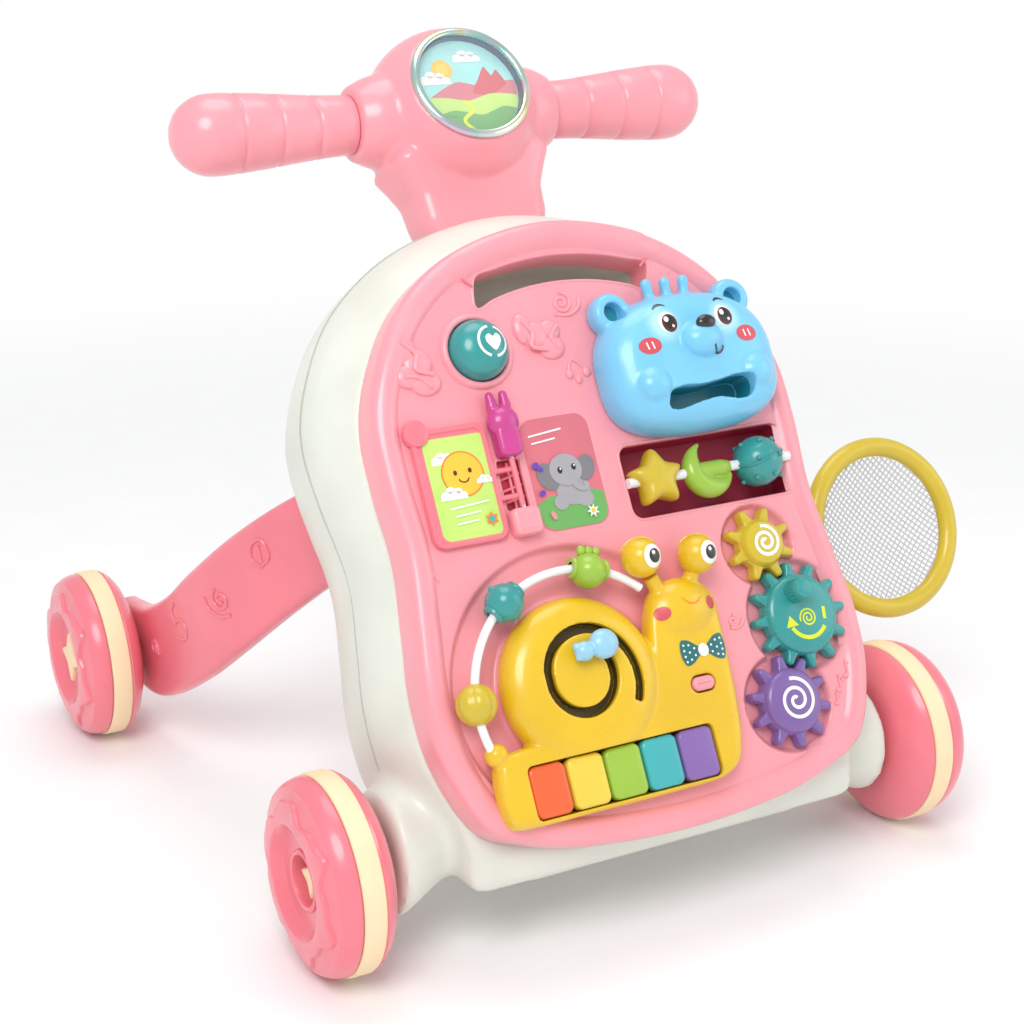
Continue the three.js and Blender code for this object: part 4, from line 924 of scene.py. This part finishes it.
shell = revolve([(46.4, 0.3), (46.5, 5), (45.9, 8), (44.4, 10.8), (42, 13.2), (38.6, 15.2), (34.6, 16.5),
                 (30, 17.2), (24, 17.5)], 96, (True, True))
stalks = [tube([(8, 206, 8), (3.5, 215, 11)], 4.4, 18), tube([(27, 206, 8), (31, 214, 11.5)], 4.4, 18)]
snail = fuse(
    [stack(SNAIL, [(0.3, -0.4), (6.5, -0.4), (9.6, -0.9), (11.6, -2.0), (12.7, -4.0), (13, -6.5)]),
     moved(shell, -51, 167), ball(19, 194, 6, 21.5, 18, 12.5, 36, 22), ball(-110, 140, 8, 6.5), *stalks],
    0.85, 5,
    [track_band(2.8, 9, 40), stack(KEY_WELL, [(1.3, 0), (40, 0)]),
     stack(round_rect(*SNAIL_BUTTON, 15.6, 9.6, 4.6), [(4, 0), (40, 0)]),
     block(-130, 60, 80, 240, -20, 0.3)], 2)
make("snail_shell", snail, YELLOW, nodes=("snail_body",), smooth=50)
# dark olive band in the snail's track and floor under the piano keys: painted shade in the groove and key well
make("snail_groove", track_band(2.5, 9.8, 14.4, (True, False)), GROOVE_SHADE, smooth=30)
make("key_well_floor", stack(KEY_WELL, [(1.5, -0.3), (1.8, -0.3)]), GROOVE_SHADE)
snail_drape = Drape(snail)
for eye, (ex, ey, ez) in EYES.items():
    globe = combine(ball(ex, ey, ez, 11.1, 11.1, 11.1, 40, 28))
    lid = tube([(ex + 11.0 * cos(t) * cos(0.5), ey + 11.0 * sin(t), ez + 11.0 * cos(t) * sin(0.5))
                for t in np.linspace(0.6, 2.6, 18)], 0.8, 8)
    make(eye + "_globe", combine(globe, lid), YELLOW, nodes=(eye,))
    look = Vector((0.30, -0.12, 1)).normalized()
    side = Vector((0, 0, 1)).cross(look).normalized()
    up_dir = look.cross(side)

    def cap(radius, reach, shift=(0, 0)):
        """A thin round print on the eyeball, centred where it looks."""
        aim = (look + side * shift[0] + up_dir * shift[1]).normalized()
        u = aim.orthogonal().normalized()
        v = aim.cross(u)
        rings = [[Vector((ex, ey, ez)) + (aim * cos(t) + (u * cos(a) + v * sin(a)) * sin(t)) * reach
                  for a in np.linspace(0, 2 * pi, 33)[:-1]] for t in np.linspace(radius, 0.01, 7)]
        return loft(rings, (False, True))
    make(eye + "_white", cap(0.62, 11.22), INK_WHITE)
    make(eye + "_pupil", cap(0.36, 11.32), INK)
    make(eye + "_glint", cap(0.1, 11.4, (0.12, 0.14)), INK_WHITE)
smile = smooth_line([(15.4, 199.6), (19.0, 196.0), (23.8, 195.4), (28.0, 198.2)], 16)
make("snail_smile", snail_drape.stroke(smile, 0.9, taper=True), CARD_ORANGE)
make("snail_cheeks", combine(snail_drape.patch(ellipse(3.4, 193.2, 4.3, 3.8)),
                             snail_drape.patch(ellipse(34.4, 194.2, 3.4, 3.8))), BLUSH)
BOW = (23.4, 169.6)
bow = [(0, 0), (3, 2.6), (8, 6.4), (12.6, 7.2), (14.4, 3), (14.2, -3), (12, -7), (7.6, -6), (3, -2.6)]
for s, word in ((-1, "left"), (1, "right")):
    wing = smooth_loop([(BOW[0] + s * x, BOW[1] + y) for x, y in bow][::s], 50, 0.35)
    make(f"bow_{word}_edge", snail_drape.patch(offset(wing, 0.9)), MUSTARD)
    make(f"bow_{word}", snail_drape.patch(wing, 0.08), DEEP_TEAL)
    dots = [(5.5, 1.8), (5.5, -2), (8.6, 4), (8.8, 0), (8.6, -4), (11.8, 4.4), (12, 1.4), (12, -1.8), (11.6, -4.8)]
    dots = [snail_drape.patch(ellipse(BOW[0] + s * x, BOW[1] + y, 0.65, 0.65, 0, 10), 0.16, 2) for x, y in dots]
    make(f"bow_{word}_dots", combine(*dots), INK_WHITE)
make("bow_knot", snail_drape.patch(ellipse(*BOW, 3.3, 3.6), 0.2), INK_WHITE)
make("snail_button_cap", stack(round_rect(*SNAIL_BUTTON, 13.8, 7.8, 3.8),
                               [(8.8, 0), (12.6, 0), (13.8, -0.5), (14.5, -1.5), (14.6, -3)]), PINK,
     body="snail_button", nodes=("snail_button",))

for i, key_mat in enumerate((ORANGE, KEY_YELLOW, GREEN, KEY_TEAL, KEY_VIOLET)):
    outline = round_rect(KEYS_LEFT + KEY_PITCH * (i + 0.5), KEYS_Y, 21.8, 27.6, 4.2)
    make(f"key_{i + 1}", stack(outline, [(6, 0), (9.8, 0), (11.1, -0.4), (11.8, -1.3), (12, -2.6)]), key_mat,
         body=f"piano_key_{i + 1}", nodes=(f"piano_key_{i + 1}",))

tx, ty = track_point(48)
knob = fuse([tube([(tx, ty, 10.3), (tx, ty, 20)], 2.2, 16), ball(tx, ty, 24, 8.5, 8.1, 6.1),
             ball(tx - 11.6, ty - 1.6, 23.4, 5.9, 5.4, 4.9), ball(tx - 16, ty + 1.6, 23.6, 2.0, 2.0, 2.0, 14, 10),
             ball(tx - 15.8, ty - 4.4, 23.6, 2.0, 2.0, 2.0, 14, 10)], 0.5, 4)
make("knob_body", knob, SKY, body="track_knob", nodes=("track_knob",))

# ---------- bear ----------

BX, BY = 62.7, 330.0


def bear_outline(n=150):
    points = []
    for k in range(n):
        c, s = cos(2 * pi * k / n), sin(2 * pi * k / n)
        e = 0.52 if s < 0 else 0.86
        points.append((BX + 56 * (1 if c > 0 else -1) * abs(c) ** 0.82, BY + 40.5 * (1 if s > 0 else -1) * abs(s) ** e))
    return points


def dome_stack(outline, levels):
    return loft([[(BX + (x - BX) * k, BY + (y - BY) * k, z) for x, y in outline] for z, k in levels])


MOUTH = smooth_loop([(35, 305), (36.5, 302), (44, 301.4), (56, 303.6), (68, 304.4), (80, 302.2), (89, 303.2),
                     (92.4, 309), (90, 314.8), (81, 315.6), (70, 314.0), (58, 313.0), (46, 313.6), (37, 311.2)], 90)
crown_tufts = [tube([(BX + dx, 366, 8), (BX + dx * 1.08, 372, 8.5), (BX + dx * 1.12, 377, 9)], [4.4, 3.0, 3.2], 18)
               for dx in (-12, -1, 10)]
crown_tips = [ball(BX + dx * 1.13, 378, 9.2, 3.5, 3.5, 3.4, 18, 12) for dx in (-12, -1, 10)]
bear = fuse(
    [dome_stack(bear_outline(), [(0.3, 1), (8, 1), (11.5, 0.99), (14.5, 0.972), (17.5, 0.943), (20.5, 0.90),
                                 (23.2, 0.84), (25.4, 0.765), (27, 0.67), (27.8, 0.56), (28, 0.45)]),
     *[stack(ellipse(BX + dx, 364, 12, 12), [(0.3, 0), (8, 0), (10.6, -0.7), (12, -2), (12.5, -3.6)])
       for dx in (-40, 40)],
     ball(BX + 1, 338, 28, 13.2, 10.6, 10.2), *[ball(BX + dx, 317, 22.5, 11.4, 10.6, 9.6) for dx in (-33.5, 33.5)],
     *crown_tufts, *crown_tips], 0.9, 4,
    [stack(MOUTH, [(4, 0), (60, 0)]),
     *[stack(ellipse(BX + dx, 364, 5.8, 5.8), [(4.5, 0), (30, 0)]) for dx in (-40, 40)],
     block(0, 130, 270, 400, -20, 0.3)], 3)
make("bear_face", bear, BEAR, nodes=("bear_shell",), smooth=50)
# painted highlights: the bear's blue fades to pale blue around two points at the eyes
painted_highlight_spots(BEAR, (0.62, 0.86, 0.96), [tuple(PANEL @ Vector(p)) for p in
                                      ((BX - 20, 349, 24), (BX + 20, 349, 24))], 0.013)
liner = stack(MOUTH, [(21, -0.1), (4.6, -0.1), (4.2, -0.3), (4.2, -6)], (False, False))
floor = stack(MOUTH, [(4.3, -0.3), (4.9, -0.3)])
ear_wells = [stack(ellipse(BX + dx, 364, 5.7, 5.7), [(4.6, 0), (5.4, 0), (5.4, -3)]) for dx in (-40, 40)]
make("mouth_liner", combine(floor, *ear_wells), TRAY_TEAL, nodes=("bear_mouth_tray",))
make("mouth_walls", liner, TRAY_TEAL)
bear_drape = Drape(bear)
for s, word in ((-1, "left"), (1, "right")):
    x0 = BX + 18.5 * s + 1.5
    make(f"bear_{word}_eye_white", bear_drape.patch(ellipse(x0 - 0.6, 350.4, 5.6, 6.2)), INK_WHITE)
    make(f"bear_{word}_iris", bear_drape.patch(ellipse(x0 + 0.6, 349.6, 4.7, 5.4), 0.08), INK_BROWN)
    make(f"bear_{word}_pupil", bear_drape.patch(ellipse(x0 + 0.6, 350, 3.2, 4.0), 0.14), INK)
    glints = [bear_drape.patch(ellipse(x0 - 1.0, 352, 1.5, 1.7, 0, 16), 0.22, 2),
              bear_drape.patch(ellipse(x0 + 2.4, 347.6, 0.8, 0.9, 0, 12), 0.22, 2)]
    make(f"bear_{word}_glints", combine(*glints), INK_WHITE)
    brow = arc(x0 - 1.4, 356.2, 5.4, 150, 50, 14) if s < 0 else arc(x0 + 1.0, 356.2, 5.0, 140, 45, 14)
    make(f"bear_{word}_brow", bear_drape.stroke(brow, 1.7, taper=True), INK)
    cx, cy = BX + 32.0 * s, 338.2
    make(f"bear_{word}_cheek", bear_drape.patch(ellipse(cx, cy, 7.0, 4.8)), BLUSH)
    marks = [bear_drape.stroke([(cx + dx, cy + 2.2), (cx + dx + 0.8, cy - 2.0)], 0.9, 0.08) for dx in (-2.0, 1.4)]
    make(f"bear_{word}_cheek_marks", combine(*marks), INK_WHITE)
make("bear_nose", ball(BX + 2, 345.6, 35.4, 6.2, 4.4, 3.4, 32, 20), INK)
make("bear_smile", bear_drape.stroke(arc(BX + 9.0, 333.6, 5.0, 195, 350, 20), 1.3), INK)

# ---------- rear casing ----------


def placed(shape, matrix):
    return [tuple(matrix @ Vector(v)) for v in shape[0]], shape[1]


def casing_ring(z, grow, shrink):
    swollen = []
    for x, y in PANEL_OUTLINE:
        up = max(0, (y - 250) / 175)
        shoulder = float(ease((y - 240) / 90)) * float(ease((430 - y) / 60))
        swollen.append((x * (1 + (0.07 + 0.06 * shoulder) * grow), y + 24 * up * grow))
    return [(x, y, z) for x, y in offset(swollen, shrink)]


barrel = placed(loft([casing_ring(*row) for row in (
    (-110, 0.5, -18), (-109.4, 0.55, -14), (-107.5, 0.68, -8.5), (-104, 0.82, -4), (-98, 0.92, -1.6),
    (-90, 0.98, -0.4), (-80, 1, 0), (-68, 1, 0), (-56, 0.94, 0), (-46, 0.85, 0), (-34, 0.55, -0.1),
    (-26, 0.25, -0.3), (-18, 0, -0.6))]), PANEL_MM)
barrel = [(x, y, max(z, 46)) for x, y, z in barrel[0]], barrel[1]
housing = smooth_loop([(-44, 46), (0, 46), (72, 46), (82, 50), (86, 60), (88, 128), (60, 165), (-30, 120),
                       (-47, 58)], 90, 0.3)
housing = loft([[(x, y, z) for y, z in offset(housing, d)] for x, d in (
    (-126, -7), (-124, -3), (-119, 0), (119, 0), (124, -3), (126, -7))])
horns = []
for s in (-1, 1):
    stations = [(70, 18, 84, 26), (85, 15, 80, 29), (100, 12, 76, 30), (116, 8, 71, 30), (132, 4, 65.5, 31),
                (146, 1.4, 61.4, 33.4), (157, 0, 59, 36), (158.3, 0, 59, 35)]
    horns.append(loft([[(s * x, y + r * cos(a), z + r * sin(a)) for a in np.linspace(0, 2 * pi, 49)[:-1]]
                       for x, y, z, r in stations]))
low_part = [(x, min(y, 372)) for x, y in offset(PANEL_OUTLINE, -12)]
hollow = placed(loft([[(x * q, 230 + (y - 230) * q, z) for x, y in low_part]
                      for z, q in ((-96, 0.9), (-84, 1), (10, 1))]), PANEL_MM)
finger_pocket = placed(stack(SLOT_OUTLINE, [(-48, -1), (-46, 1.5), (10, 1.5)]), PANEL_MM)
casing = fuse([barrel, housing, *horns], 3.0, 12, [
    placed(block(-200, 200, 0, 600, -20.3, 80), PANEL_MM), hollow, finger_pocket, block(-56, 56, 6, 70, 40, 72)], 1)
make("casing_shell", casing, WHITE, place=WORLD, nodes=("rear_casing",), smooth=40)
seam_ring = [tuple(PANEL_MM @ Vector(p)) for p in casing_ring(-62, 0.985, 0.05)]
seam_ring = [p for p in seam_ring if p[2] > 60]
start = max(range(len(seam_ring)), key=lambda i: (Vector(seam_ring[i]) - Vector(seam_ring[i - 1])).length)
seam_ring = seam_ring[start:] + seam_ring[:start]
make("casing_seam", tube(seam_ring, 0.35, 8), SEAM, place=WORLD)
holes = [(-10 + 5.2 * i + (2.6 if j % 2 else 0), 300 + 4.6 * j) for j in range(-5, 6) for i in range(-5, 6)]
holes = [ellipse(x, y, 1.15, 1.15, 0, 10) for x, y in holes if hypot(x + 10, y - 300) < 26]
# black discs in place of the speaker holes: painted shade of the holes' dark insides
make("speaker_hole_shade", combine(*[stack(h, [(-110.25, 0), (-110.05, 0)]) for h in holes]), BLACK)
screws, wells = [], []
for x, y in ((-88, 372), (88, 372), (-104, 240), (104, 240), (-96, 140), (96, 140)):
    wells.append(stack(ellipse(x, y, 4.6, 4.6, 0, 24), [(-110.3, 0), (-110.05, 0)]))
    screws.append(stack(ellipse(x, y, 2.7, 2.7, 0, 20), [(-110.9, -0.4), (-110.3, 0), (-110.1, 0)]))
# grey discs round the screws: painted shade of the screw wells
make("screw_well_shade", combine(*wells), CARD_GREY)
make("screw_heads", combine(*screws), STEEL)

# ---------- handlebar with picture dial ----------

neck = [(420, 62, 26, -75), (428, 70, 30, -76), (440, 78, 33, -76), (452, 84, 36, -76), (460, 85, 37, -76.5),
        (468, 86, 38, -77), (480, 95, 44, -78), (490, 104, 50, -79), (500, 90, 50, -80)]
neck = loft([[(x, y, z) for x, z in round_rect(0, mid, w, t, 11)][::-1] for y, w, t, mid in neck])
collar_profile = [(28.6, 30), (28.9, 41), (28.2, 48), (26, 56), (23.2, 62), (21.8, 65.2), (20, 65.7)]
collars = [placed(revolve(collar_profile, 48, (True, True)),
                  Matrix.Translation(HEAD) @ Matrix.Rotation(s * pi / 2, 4, "Y")) for s in (-1, 1)]
dial_cuts = [placed(revolve([(62, 37), (62, 90)], 64, (True, True)), DIAL_MM),
             placed(revolve([(34, 20), (34, 60)], 64, (True, True)), DIAL_MM)]
head = fuse([ball(*HEAD, 52.7, 52.7, 52.7, 64, 40), *collars, placed(neck, PANEL_MM)], 1.7, 4, dial_cuts, 1)
make("handle_ball", head, PINK, place=WORLD, nodes=("handle_head",), smooth=40)
GRIP = [(66.2, 17.2), (67, 17.6), (76, 17.9), (84, 18.3), (97, 19.4), (110, 20.7), (123, 21.9), (135, 22.8),
        (146, 23.4), (152.4, 23.4), (157, 22.9), (161, 21.7), (165, 19.6), (168.6, 16.9), (171.6, 13.4),
        (173.8, 9.6), (175, 5.6), (175.5, 1.5)]
CREASES, CREASE_HALF = (90, 114, 138), 1.7
grip_x = sorted({x for x, _ in GRIP} | {g + d for g in CREASES for d in (-1.6, -0.9, -0.4, 0.4, 0.9, 1.6)})
grip_profile = [(12.9, 66.2)]
for x in grip_x:
    r = float(np.interp(x, [p[0] for p in GRIP], [p[1] for p in GRIP]))
    dent = max([0.0] + [1.1 * (1 - ease(abs(x - g) / CREASE_HALF)) for g in CREASES if abs(x - g) < CREASE_HALF])
    grip_profile.append((r - dent, x))
for s, word in ((-1, "left"), (1, "right")):
    turned = placed(revolve(grip_profile, 56, (True, True)),
                    Matrix.Translation(HEAD) @ Matrix.Rotation(s * pi / 2, 4, "Y"))
    make(f"{word}_grip_body", turned, PINK, place=WORLD, nodes=(f"{word}_grip",), smooth=50)

DIAL_SKY = plastic("dial_sky", (0.36, 0.74, 0.72), 0.45, coat=0.3, spread=0.12)
DIAL_NAVY = plastic("dial_navy", (0.03, 0.05, 0.14), 0.4, coat=0.4)
bezel = [(33.1, 37.4), (33.1, 40.2), (33.7, 40.6), (35.2, 40.6), (36.6, 39.9), (37.4, 38.8), (37.4, 37.4), (33.1, 37.4)]
make("dial_ring", revolve(bezel, 96), BEZEL, place=DIAL, nodes=("dial_bezel",))
wall = revolve([(33.9, 20.4), (33.9, 37.2), (32.7, 37.2), (32.2, 33.2), (32.2, 31), (33.9, 20.4)], 96)
make("dial_navy_ring", wall, DIAL_NAVY, place=DIAL)
disc = stack(ellipse(0, 0, 32.6, 32.6, 0, 72), [(31, 0), (33, 0)])
make("dial_card", disc, DIAL_SKY, place=DIAL, nodes=("dial_picture",))
dial_flat = Flat(33)


def clipped(outline, r=31.8):
    return [(x * min(1, r / hypot(x, y)), y * min(1, r / hypot(x, y))) for x, y in outline]


DIAL_PRINTS = [
    ("far_hill", dial_flat.patch(clipped(smooth_loop([(-34, -12), (-20, -2), (-6, 4), (8, 1), (34, 2), (34, -34),
                                                      (-34, -34)], 90, 0.3)), 0.05), CARD_ROSE),
    ("mountain", dial_flat.patch(smooth_loop([(2, -4), (9, 6), (14.5, 13.5), (18, 7), (22, 11), (26, 1), (14, -6)],
                                             60, 0.2), 0.1), BLUSH),
    ("field", dial_flat.patch(clipped(smooth_loop([(-34, -8), (-18, -6), (-2, -9), (14, -5), (34, -9), (34, -36),
                                                   (-34, -36)], 90, 0.3)), 0.15), CARD_LIME),
    ("meadow", dial_flat.patch(clipped(smooth_loop([(-34, -22), (-14, -15), (4, -19), (20, -14), (34, -20), (34, -38),
                                                    (-34, -38)], 90, 0.3)), 0.2), CARD_GRASS),
    ("sun", dial_flat.patch(ellipse(-13, 13, 6.6, 6.6), 0.1), CARD_SUN),
    ("sun_heart", dial_flat.patch(ellipse(-13, 13, 4.2, 4.2), 0.15), KEY_YELLOW),
    ("clouds", combine(dial_flat.patch(cloud(-20, 5, 1.2), 0.2), dial_flat.patch(cloud(5, 19, 1.1), 0.2)), INK_WHITE),
    ("path", dial_flat.stroke(smooth_line([(-6, -9), (-1, -15), (-9, -22), (-4, -30)], 30), 2.4, 0.26), INK_LIME)]
for word, shape, mat in DIAL_PRINTS:
    make("dial_" + word, shape, mat, place=DIAL)
lens = revolve([(33.0, 37.4), (32.8, 38.3), (30, 39.0), (24, 39.8), (16, 40.2), (8, 40.4), (0.6, 40.45)], 72)
make("dial_window", lens, LENS, place=DIAL, nodes=("dial_lens",))

# ---------- rear legs, wheels and axles ----------

LEGS = [(108, 118, 205, 50, 16), (120, 157, 183, 56, 17), (140, 197, 150, 60, 18), (157, 235, 115, 61, 18),
        (167, 268, 87, 60, 17), (172, 312, 63, 61, 16), (173, 352, 56, 56, 15), (173, 373, 55, 52, 14.4)]


def leg(side):
    """Curved flat beam, crowned outside and dished inside, with a round foot."""
    stations = smooth_line(LEGS, 54)
    spots = [Vector(p[:3]) for p in stations]
    rings = []
    for i, (x, y, z, h, t) in enumerate(stations):
        along = (spots[min(len(spots) - 1, i + 1)] - spots[max(0, i - 1)]).normalized()
        across = Vector((0, 0, 1)).cross(along).normalized()
        up = along.cross(across).normalized()
        squeeze = sin(min(1.0, (len(stations) - 1 - i) / 4 + 0.62) * pi / 2)
        ring = []
        for px, py in round_rect(0, 0, t - 0.4, h * squeeze, 5.6, 6):
            if (px > 0) == (across.x < 0):
                px *= 1 - 0.85 * ease(min(1.0, max(0.0, (h * squeeze / 2 - 6 - abs(py)) / 5)))
            else:
                px *= 0.86 + 0.14 * cos(py / h * pi)
            q = spots[i] + across * px + up * py
            ring.append((side * q.x, q.y, q.z))
        rings.append(ring)
    return loft(rings)


for s, word in ((-1, "left"), (1, "right")):
    beam = leg(s)
    make(f"{word}_leg_beam", beam, DEEP, place=WORLD, nodes=(f"{word}_rear_leg",), smooth=40)
    side_drape = Drape(([(y, z, s * x - 110) for x, y, z in beam[0]], beam[1]), 0.25)
    side_place = WORLD @ Matrix(((0, 0, s, s * 110), (1, 0, 0, 0), (0, 1, 0, 0), (0, 0, 0, 1)))
    trails = [spiral(222, 128, 1.4, 7.2, 200, 1.6, 44), [(214, 120), (222, 117), (232, 119), (236, 126)],
              spiral(302, 70, 1.0, 5.6, 30, 1.5, 36), arc(262, 96, 6.5, 20, 300, 26),
              [(268, 98), (272, 106), (268, 112)],
              [(189, 158), (184, 166), (189, 175), (196, 170), (196, 161), (189, 158)], [(189, 160), (191, 171)]]
    reliefs = [tube([side_drape.drop(u, v, 0) for u, v in smooth_line(line, 60)], 1.25, 8, 0.9) for line in trails]
    make(f"{word}_leg_reliefs", combine(*reliefs), DEEP, place=side_place)

AXLE_HEIGHT, FRONT_TRACK, REAR_TRACK, WHEELBASE = 55, 368, 408, 347.5
ICING = 41.0
b = 6.25  # half the width of a tyre band


def icing(a):
    return ICING + 3.2 * sin(6 * a) + 1.5 * sin(13 * a + 1)


def wheel_outer(star):
    """Outer half shell: a rounded cone with a wavy iced step, and a dished hub."""
    rows = [(50, b + 0.3), (53.3, b + 0.3), (53.9, b + 1.2), (54, b + 2.5), (53.4, b + 5), (52.6, b + 7.6)]
    rings, n = [], 120
    angles = [2 * pi * i / n for i in range(n)]
    for r, z in rows:
        rings.append([(r * cos(a), r * sin(a), z) for a in angles])
    for r, z in ((51.4, b + 9.8), (49.9, b + 11.8)):
        rings.append([(r * cos(a), r * sin(a), z) for a in angles])
    for step, z in ((1.3, -1.7), (0.8, -1.6), (0.3, 0.0), (-0.8, 0.5), (-3.2, 0.25)):
        ring = []
        for a in angles:
            r = icing(a) + step
            fall = float(np.interp(r, [34, 38, 41, 44, 47, 49.9], [16.9, 16.6, 16.0, 15.0, 13.5, 11.8]))
            ring.append((r * cos(a), r * sin(a), b + fall + z))
        rings.append(ring)
    hole = 9.6 if star else 13.7
    for r, z in ((34, b + 17.3), (31.5, b + 17.0), (29.6, b + 15.2), (28.2, b + 12.2), (26.5, b + 10.6),
                 (24, b + 10.3), (18, b + 10.2), (hole, b + 10.0), (hole, b + 3.2), (20, b + 3.1), (33, b + 3.0),
                 (46, b + 2), (50, b + 0.3)):
        rings.append([(r * cos(a), r * sin(a), z) for a in angles])
    return loft(rings, (False, False))


tyre = [(46, -b), (53.9, -b), (54.6, -b + 0.5), (55, -b + 1.6), (55, b - 1.6), (54.6, b - 0.5), (53.9, b), (46, b),
        (45.6, 0), (46, -b)]
inner_half = [(3.2, -b - 14.4), (12, -b - 14.4), (22, -b - 14.3), (31, -b - 13.4), (40, -b - 11.9), (46, -b - 9.2),
              (50, -b - 6.5), (52.6, -b - 3.6), (53.9, -b - 1.5), (53.3, -b - 0.3), (50, -b - 0.3)]
for name, side, track, y in (("front_left", -1, FRONT_TRACK, 0), ("front_right", 1, FRONT_TRACK, 0),
                             ("rear_left", -1, REAR_TRACK, WHEELBASE), ("rear_right", 1, REAR_TRACK, WHEELBASE)):
    hub_place = (WORLD @ Matrix.Translation((side * track / 2, y, AXLE_HEIGHT))
                 @ Matrix.Rotation(side * pi / 2, 4, "Y"))
    wheel = name + "_wheel"
    make(wheel + "_iced", wheel_outer(name.startswith("rear")), DEEP, body=wheel, place=hub_place,
         nodes=(wheel + "_outer",), smooth=24)
    make(wheel + "_back", combine(revolve(inner_half, 96, (False, False)), revolve([(3.2, -b - 14.4), (3.2, b - 0.2),
         (9.2, b - 0.2), (9.2, -b + 1), (49, -b + 1.5), (50, -b - 0.3)], 96)), DEEP, body=wheel, place=hub_place,
         nodes=(wheel + "_inner",), smooth=40)
    make(name + "_band", revolve(tyre, 120), CREAM, body=wheel, place=hub_place, nodes=(name + "_tyre",), smooth=30)
    if name.startswith("front"):
        make(wheel + "_hub_rim", revolve([(17, b + 10.1), (16.8, b + 11.4), (15.6, b + 12.1), (14.2, b + 11.6),
                                          (13.8, b + 10), (13.6, b + 3)], 72), DEEP, body=wheel, place=hub_place)
        # dark crimson disc in the front hub's well: painted shade inside the hub
        make(wheel + "_hub_well", revolve([(13.9, b + 2.9), (13.9, b + 2.5), (0.5, b + 2.5), (0.5, b + 2.9)], 48,
                                          (True, True)), RECESS_SHADE, body=wheel, place=hub_place)
        star_levels, star_size = [(b + 2.9, 1), (b + 6.2, 1), (b + 7.4, 0.9), (b + 7.8, 0.7)], 12.6
    else:
        star_levels, star_size = [(b + 10.0, 1), (b + 12.2, 1), (b + 13.2, 0.93), (b + 13.6, 0.8)], 17.5
    make(wheel + "_star", pillow(burst(8, star_size, star_size * 0.5, 80, 0.2), star_levels), CREAM, body=wheel,
         place=hub_place, smooth=50)

# ---------- net hoop ----------

ring_line = [(50.4 * cos(a), 50.4 * sin(a), 0) for a in np.linspace(0, 2 * pi, 97)[:-1]]
make("hoop_rim", tube(ring_line, 5.95, 24, 0.95, closed=True), MUSTARD, place=HOOP, nodes=("hoop_ring",))
make("hoop_arm", tube([(118.5, 56, 160), (150, 56, 160), (158, 56, 160.4), (164, 55.6, 161)], 6.9, 28), MUSTARD,
     place=WORLD)
NET_R = 44.0


def net_sag(x, y):
    return -5.6 * (1 - (x * x + y * y) / NET_R**2) - 0.6


strands = []
for turn_deg in (45, -45):
    c, s = cos(radians(turn_deg)), sin(radians(turn_deg))
    for k in range(-14, 15):
        v = 3.1 * k
        half = (NET_R**2 - v * v) ** 0.5 if abs(v) < NET_R else 0
        if half < 3:
            continue
        count = max(4, int(half / 2.6))
        line = [(u * c - v * s, u * s + v * c) for u in np.linspace(-half, half, count)]
        strands.append(tube([(x, y, net_sag(x, y)) for x, y in line], 0.42, 5))
net = make("hoop_netting", combine(*strands), NET, place=HOOP, nodes=("hoop_net",))

# ---------- CAD nodes carried over: axles, underside and inner parts ----------

for node, mat in (("base_plate", WHITE), ("battery_door", WHITE), ("battery_box", BLACK), ("speaker", BLACK),
                  ("circuit_board", BOARD), ("book_hinge_pin", STEEL), ("front_axle", STEEL),
                  ("rear_left_axle", STEEL), ("rear_right_axle", STEEL)):
    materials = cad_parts[node].data.materials
    materials.clear()
    materials.append(mat)

# ---------- floor, light and background ----------

bpy.context.scene.view_settings.view_transform = "Standard"

floor_mat = plastic("studio_floor", (0.93, 0.93, 0.93), 0.7, coat=0.0, grain=60.0, bump=0.0, spread=0.01)
soft = floor_mat.node_tree
spot = soft.nodes.new("ShaderNodeTexCoord")
reach = soft.nodes.new("ShaderNodeVectorMath")
reach.operation = "LENGTH"
thin = remap(soft.nodes, 1.0, 0.0, 0.5, 1.5, "SMOOTHSTEP")
soft.links.new(spot.outputs["Object"], reach.inputs[0])
soft.links.new(reach.outputs["Value"], thin.inputs["Value"])
soft.links.new(thin.outputs["Result"], soft.nodes["Principled BSDF"].inputs["Alpha"])
side_length = 2.0
floor_mesh = bpy.data.meshes.new("floor")
floor_mesh.from_pydata([(-side_length, -side_length, 0), (side_length, -side_length, 0),
                        (side_length, side_length, 0), (-side_length, side_length, 0)], [], [(0, 1, 2, 3)])
floor_mesh.materials.append(floor_mat)
floor_ob = bpy.data.objects.new("floor", floor_mesh)
bpy.context.scene.collection.objects.link(floor_ob)

world = bpy.data.worlds.new("studio")
bpy.context.scene.world = world
world.use_nodes = True
sky = world.node_tree
where = sky.nodes.new("ShaderNodeTexCoord")
split = sky.nodes.new("ShaderNodeSeparateXYZ")
fade = sky.nodes.new("ShaderNodeValToRGB")
fade.color_ramp.elements[0].position = 0.02
fade.color_ramp.elements[0].color = (1.0, 1.0, 1.0, 1.0)
fade.color_ramp.elements[1].position = 0.3
fade.color_ramp.elements[1].color = (0.62, 0.63, 0.64, 1.0)
sky.links.new(where.outputs["Generated"], split.inputs["Vector"])
sky.links.new(split.outputs["Z"], fade.inputs["Fac"])
sky.links.new(fade.outputs["Color"], sky.nodes["Background"].inputs["Color"])
sky.nodes["Background"].inputs["Strength"].default_value = 1.0


def area_light(name, spot, aim, size, power, tint=(1, 1, 1)):
    data = bpy.data.lights.new(name, "AREA")
    data.shape = "DISK"
    data.size = size
    data.energy = power
    data.color = tint
    ob = bpy.data.objects.new(name, data)
    ob.location = spot
    ob.rotation_euler = (Vector(aim) - Vector(spot)).to_track_quat("-Z", "Y").to_euler()
    bpy.context.scene.collection.objects.link(ob)


area_light("key", (-0.9, -1.1, 1.6), (0, 0, 0.2), 1.0, 19)
area_light("fill", (1.4, -1.0, 0.9), (0, 0, 0.2), 1.2, 4)
area_light("top", (0.1, 0.3, 1.9), (0, 0, 0.1), 1.2, 9)
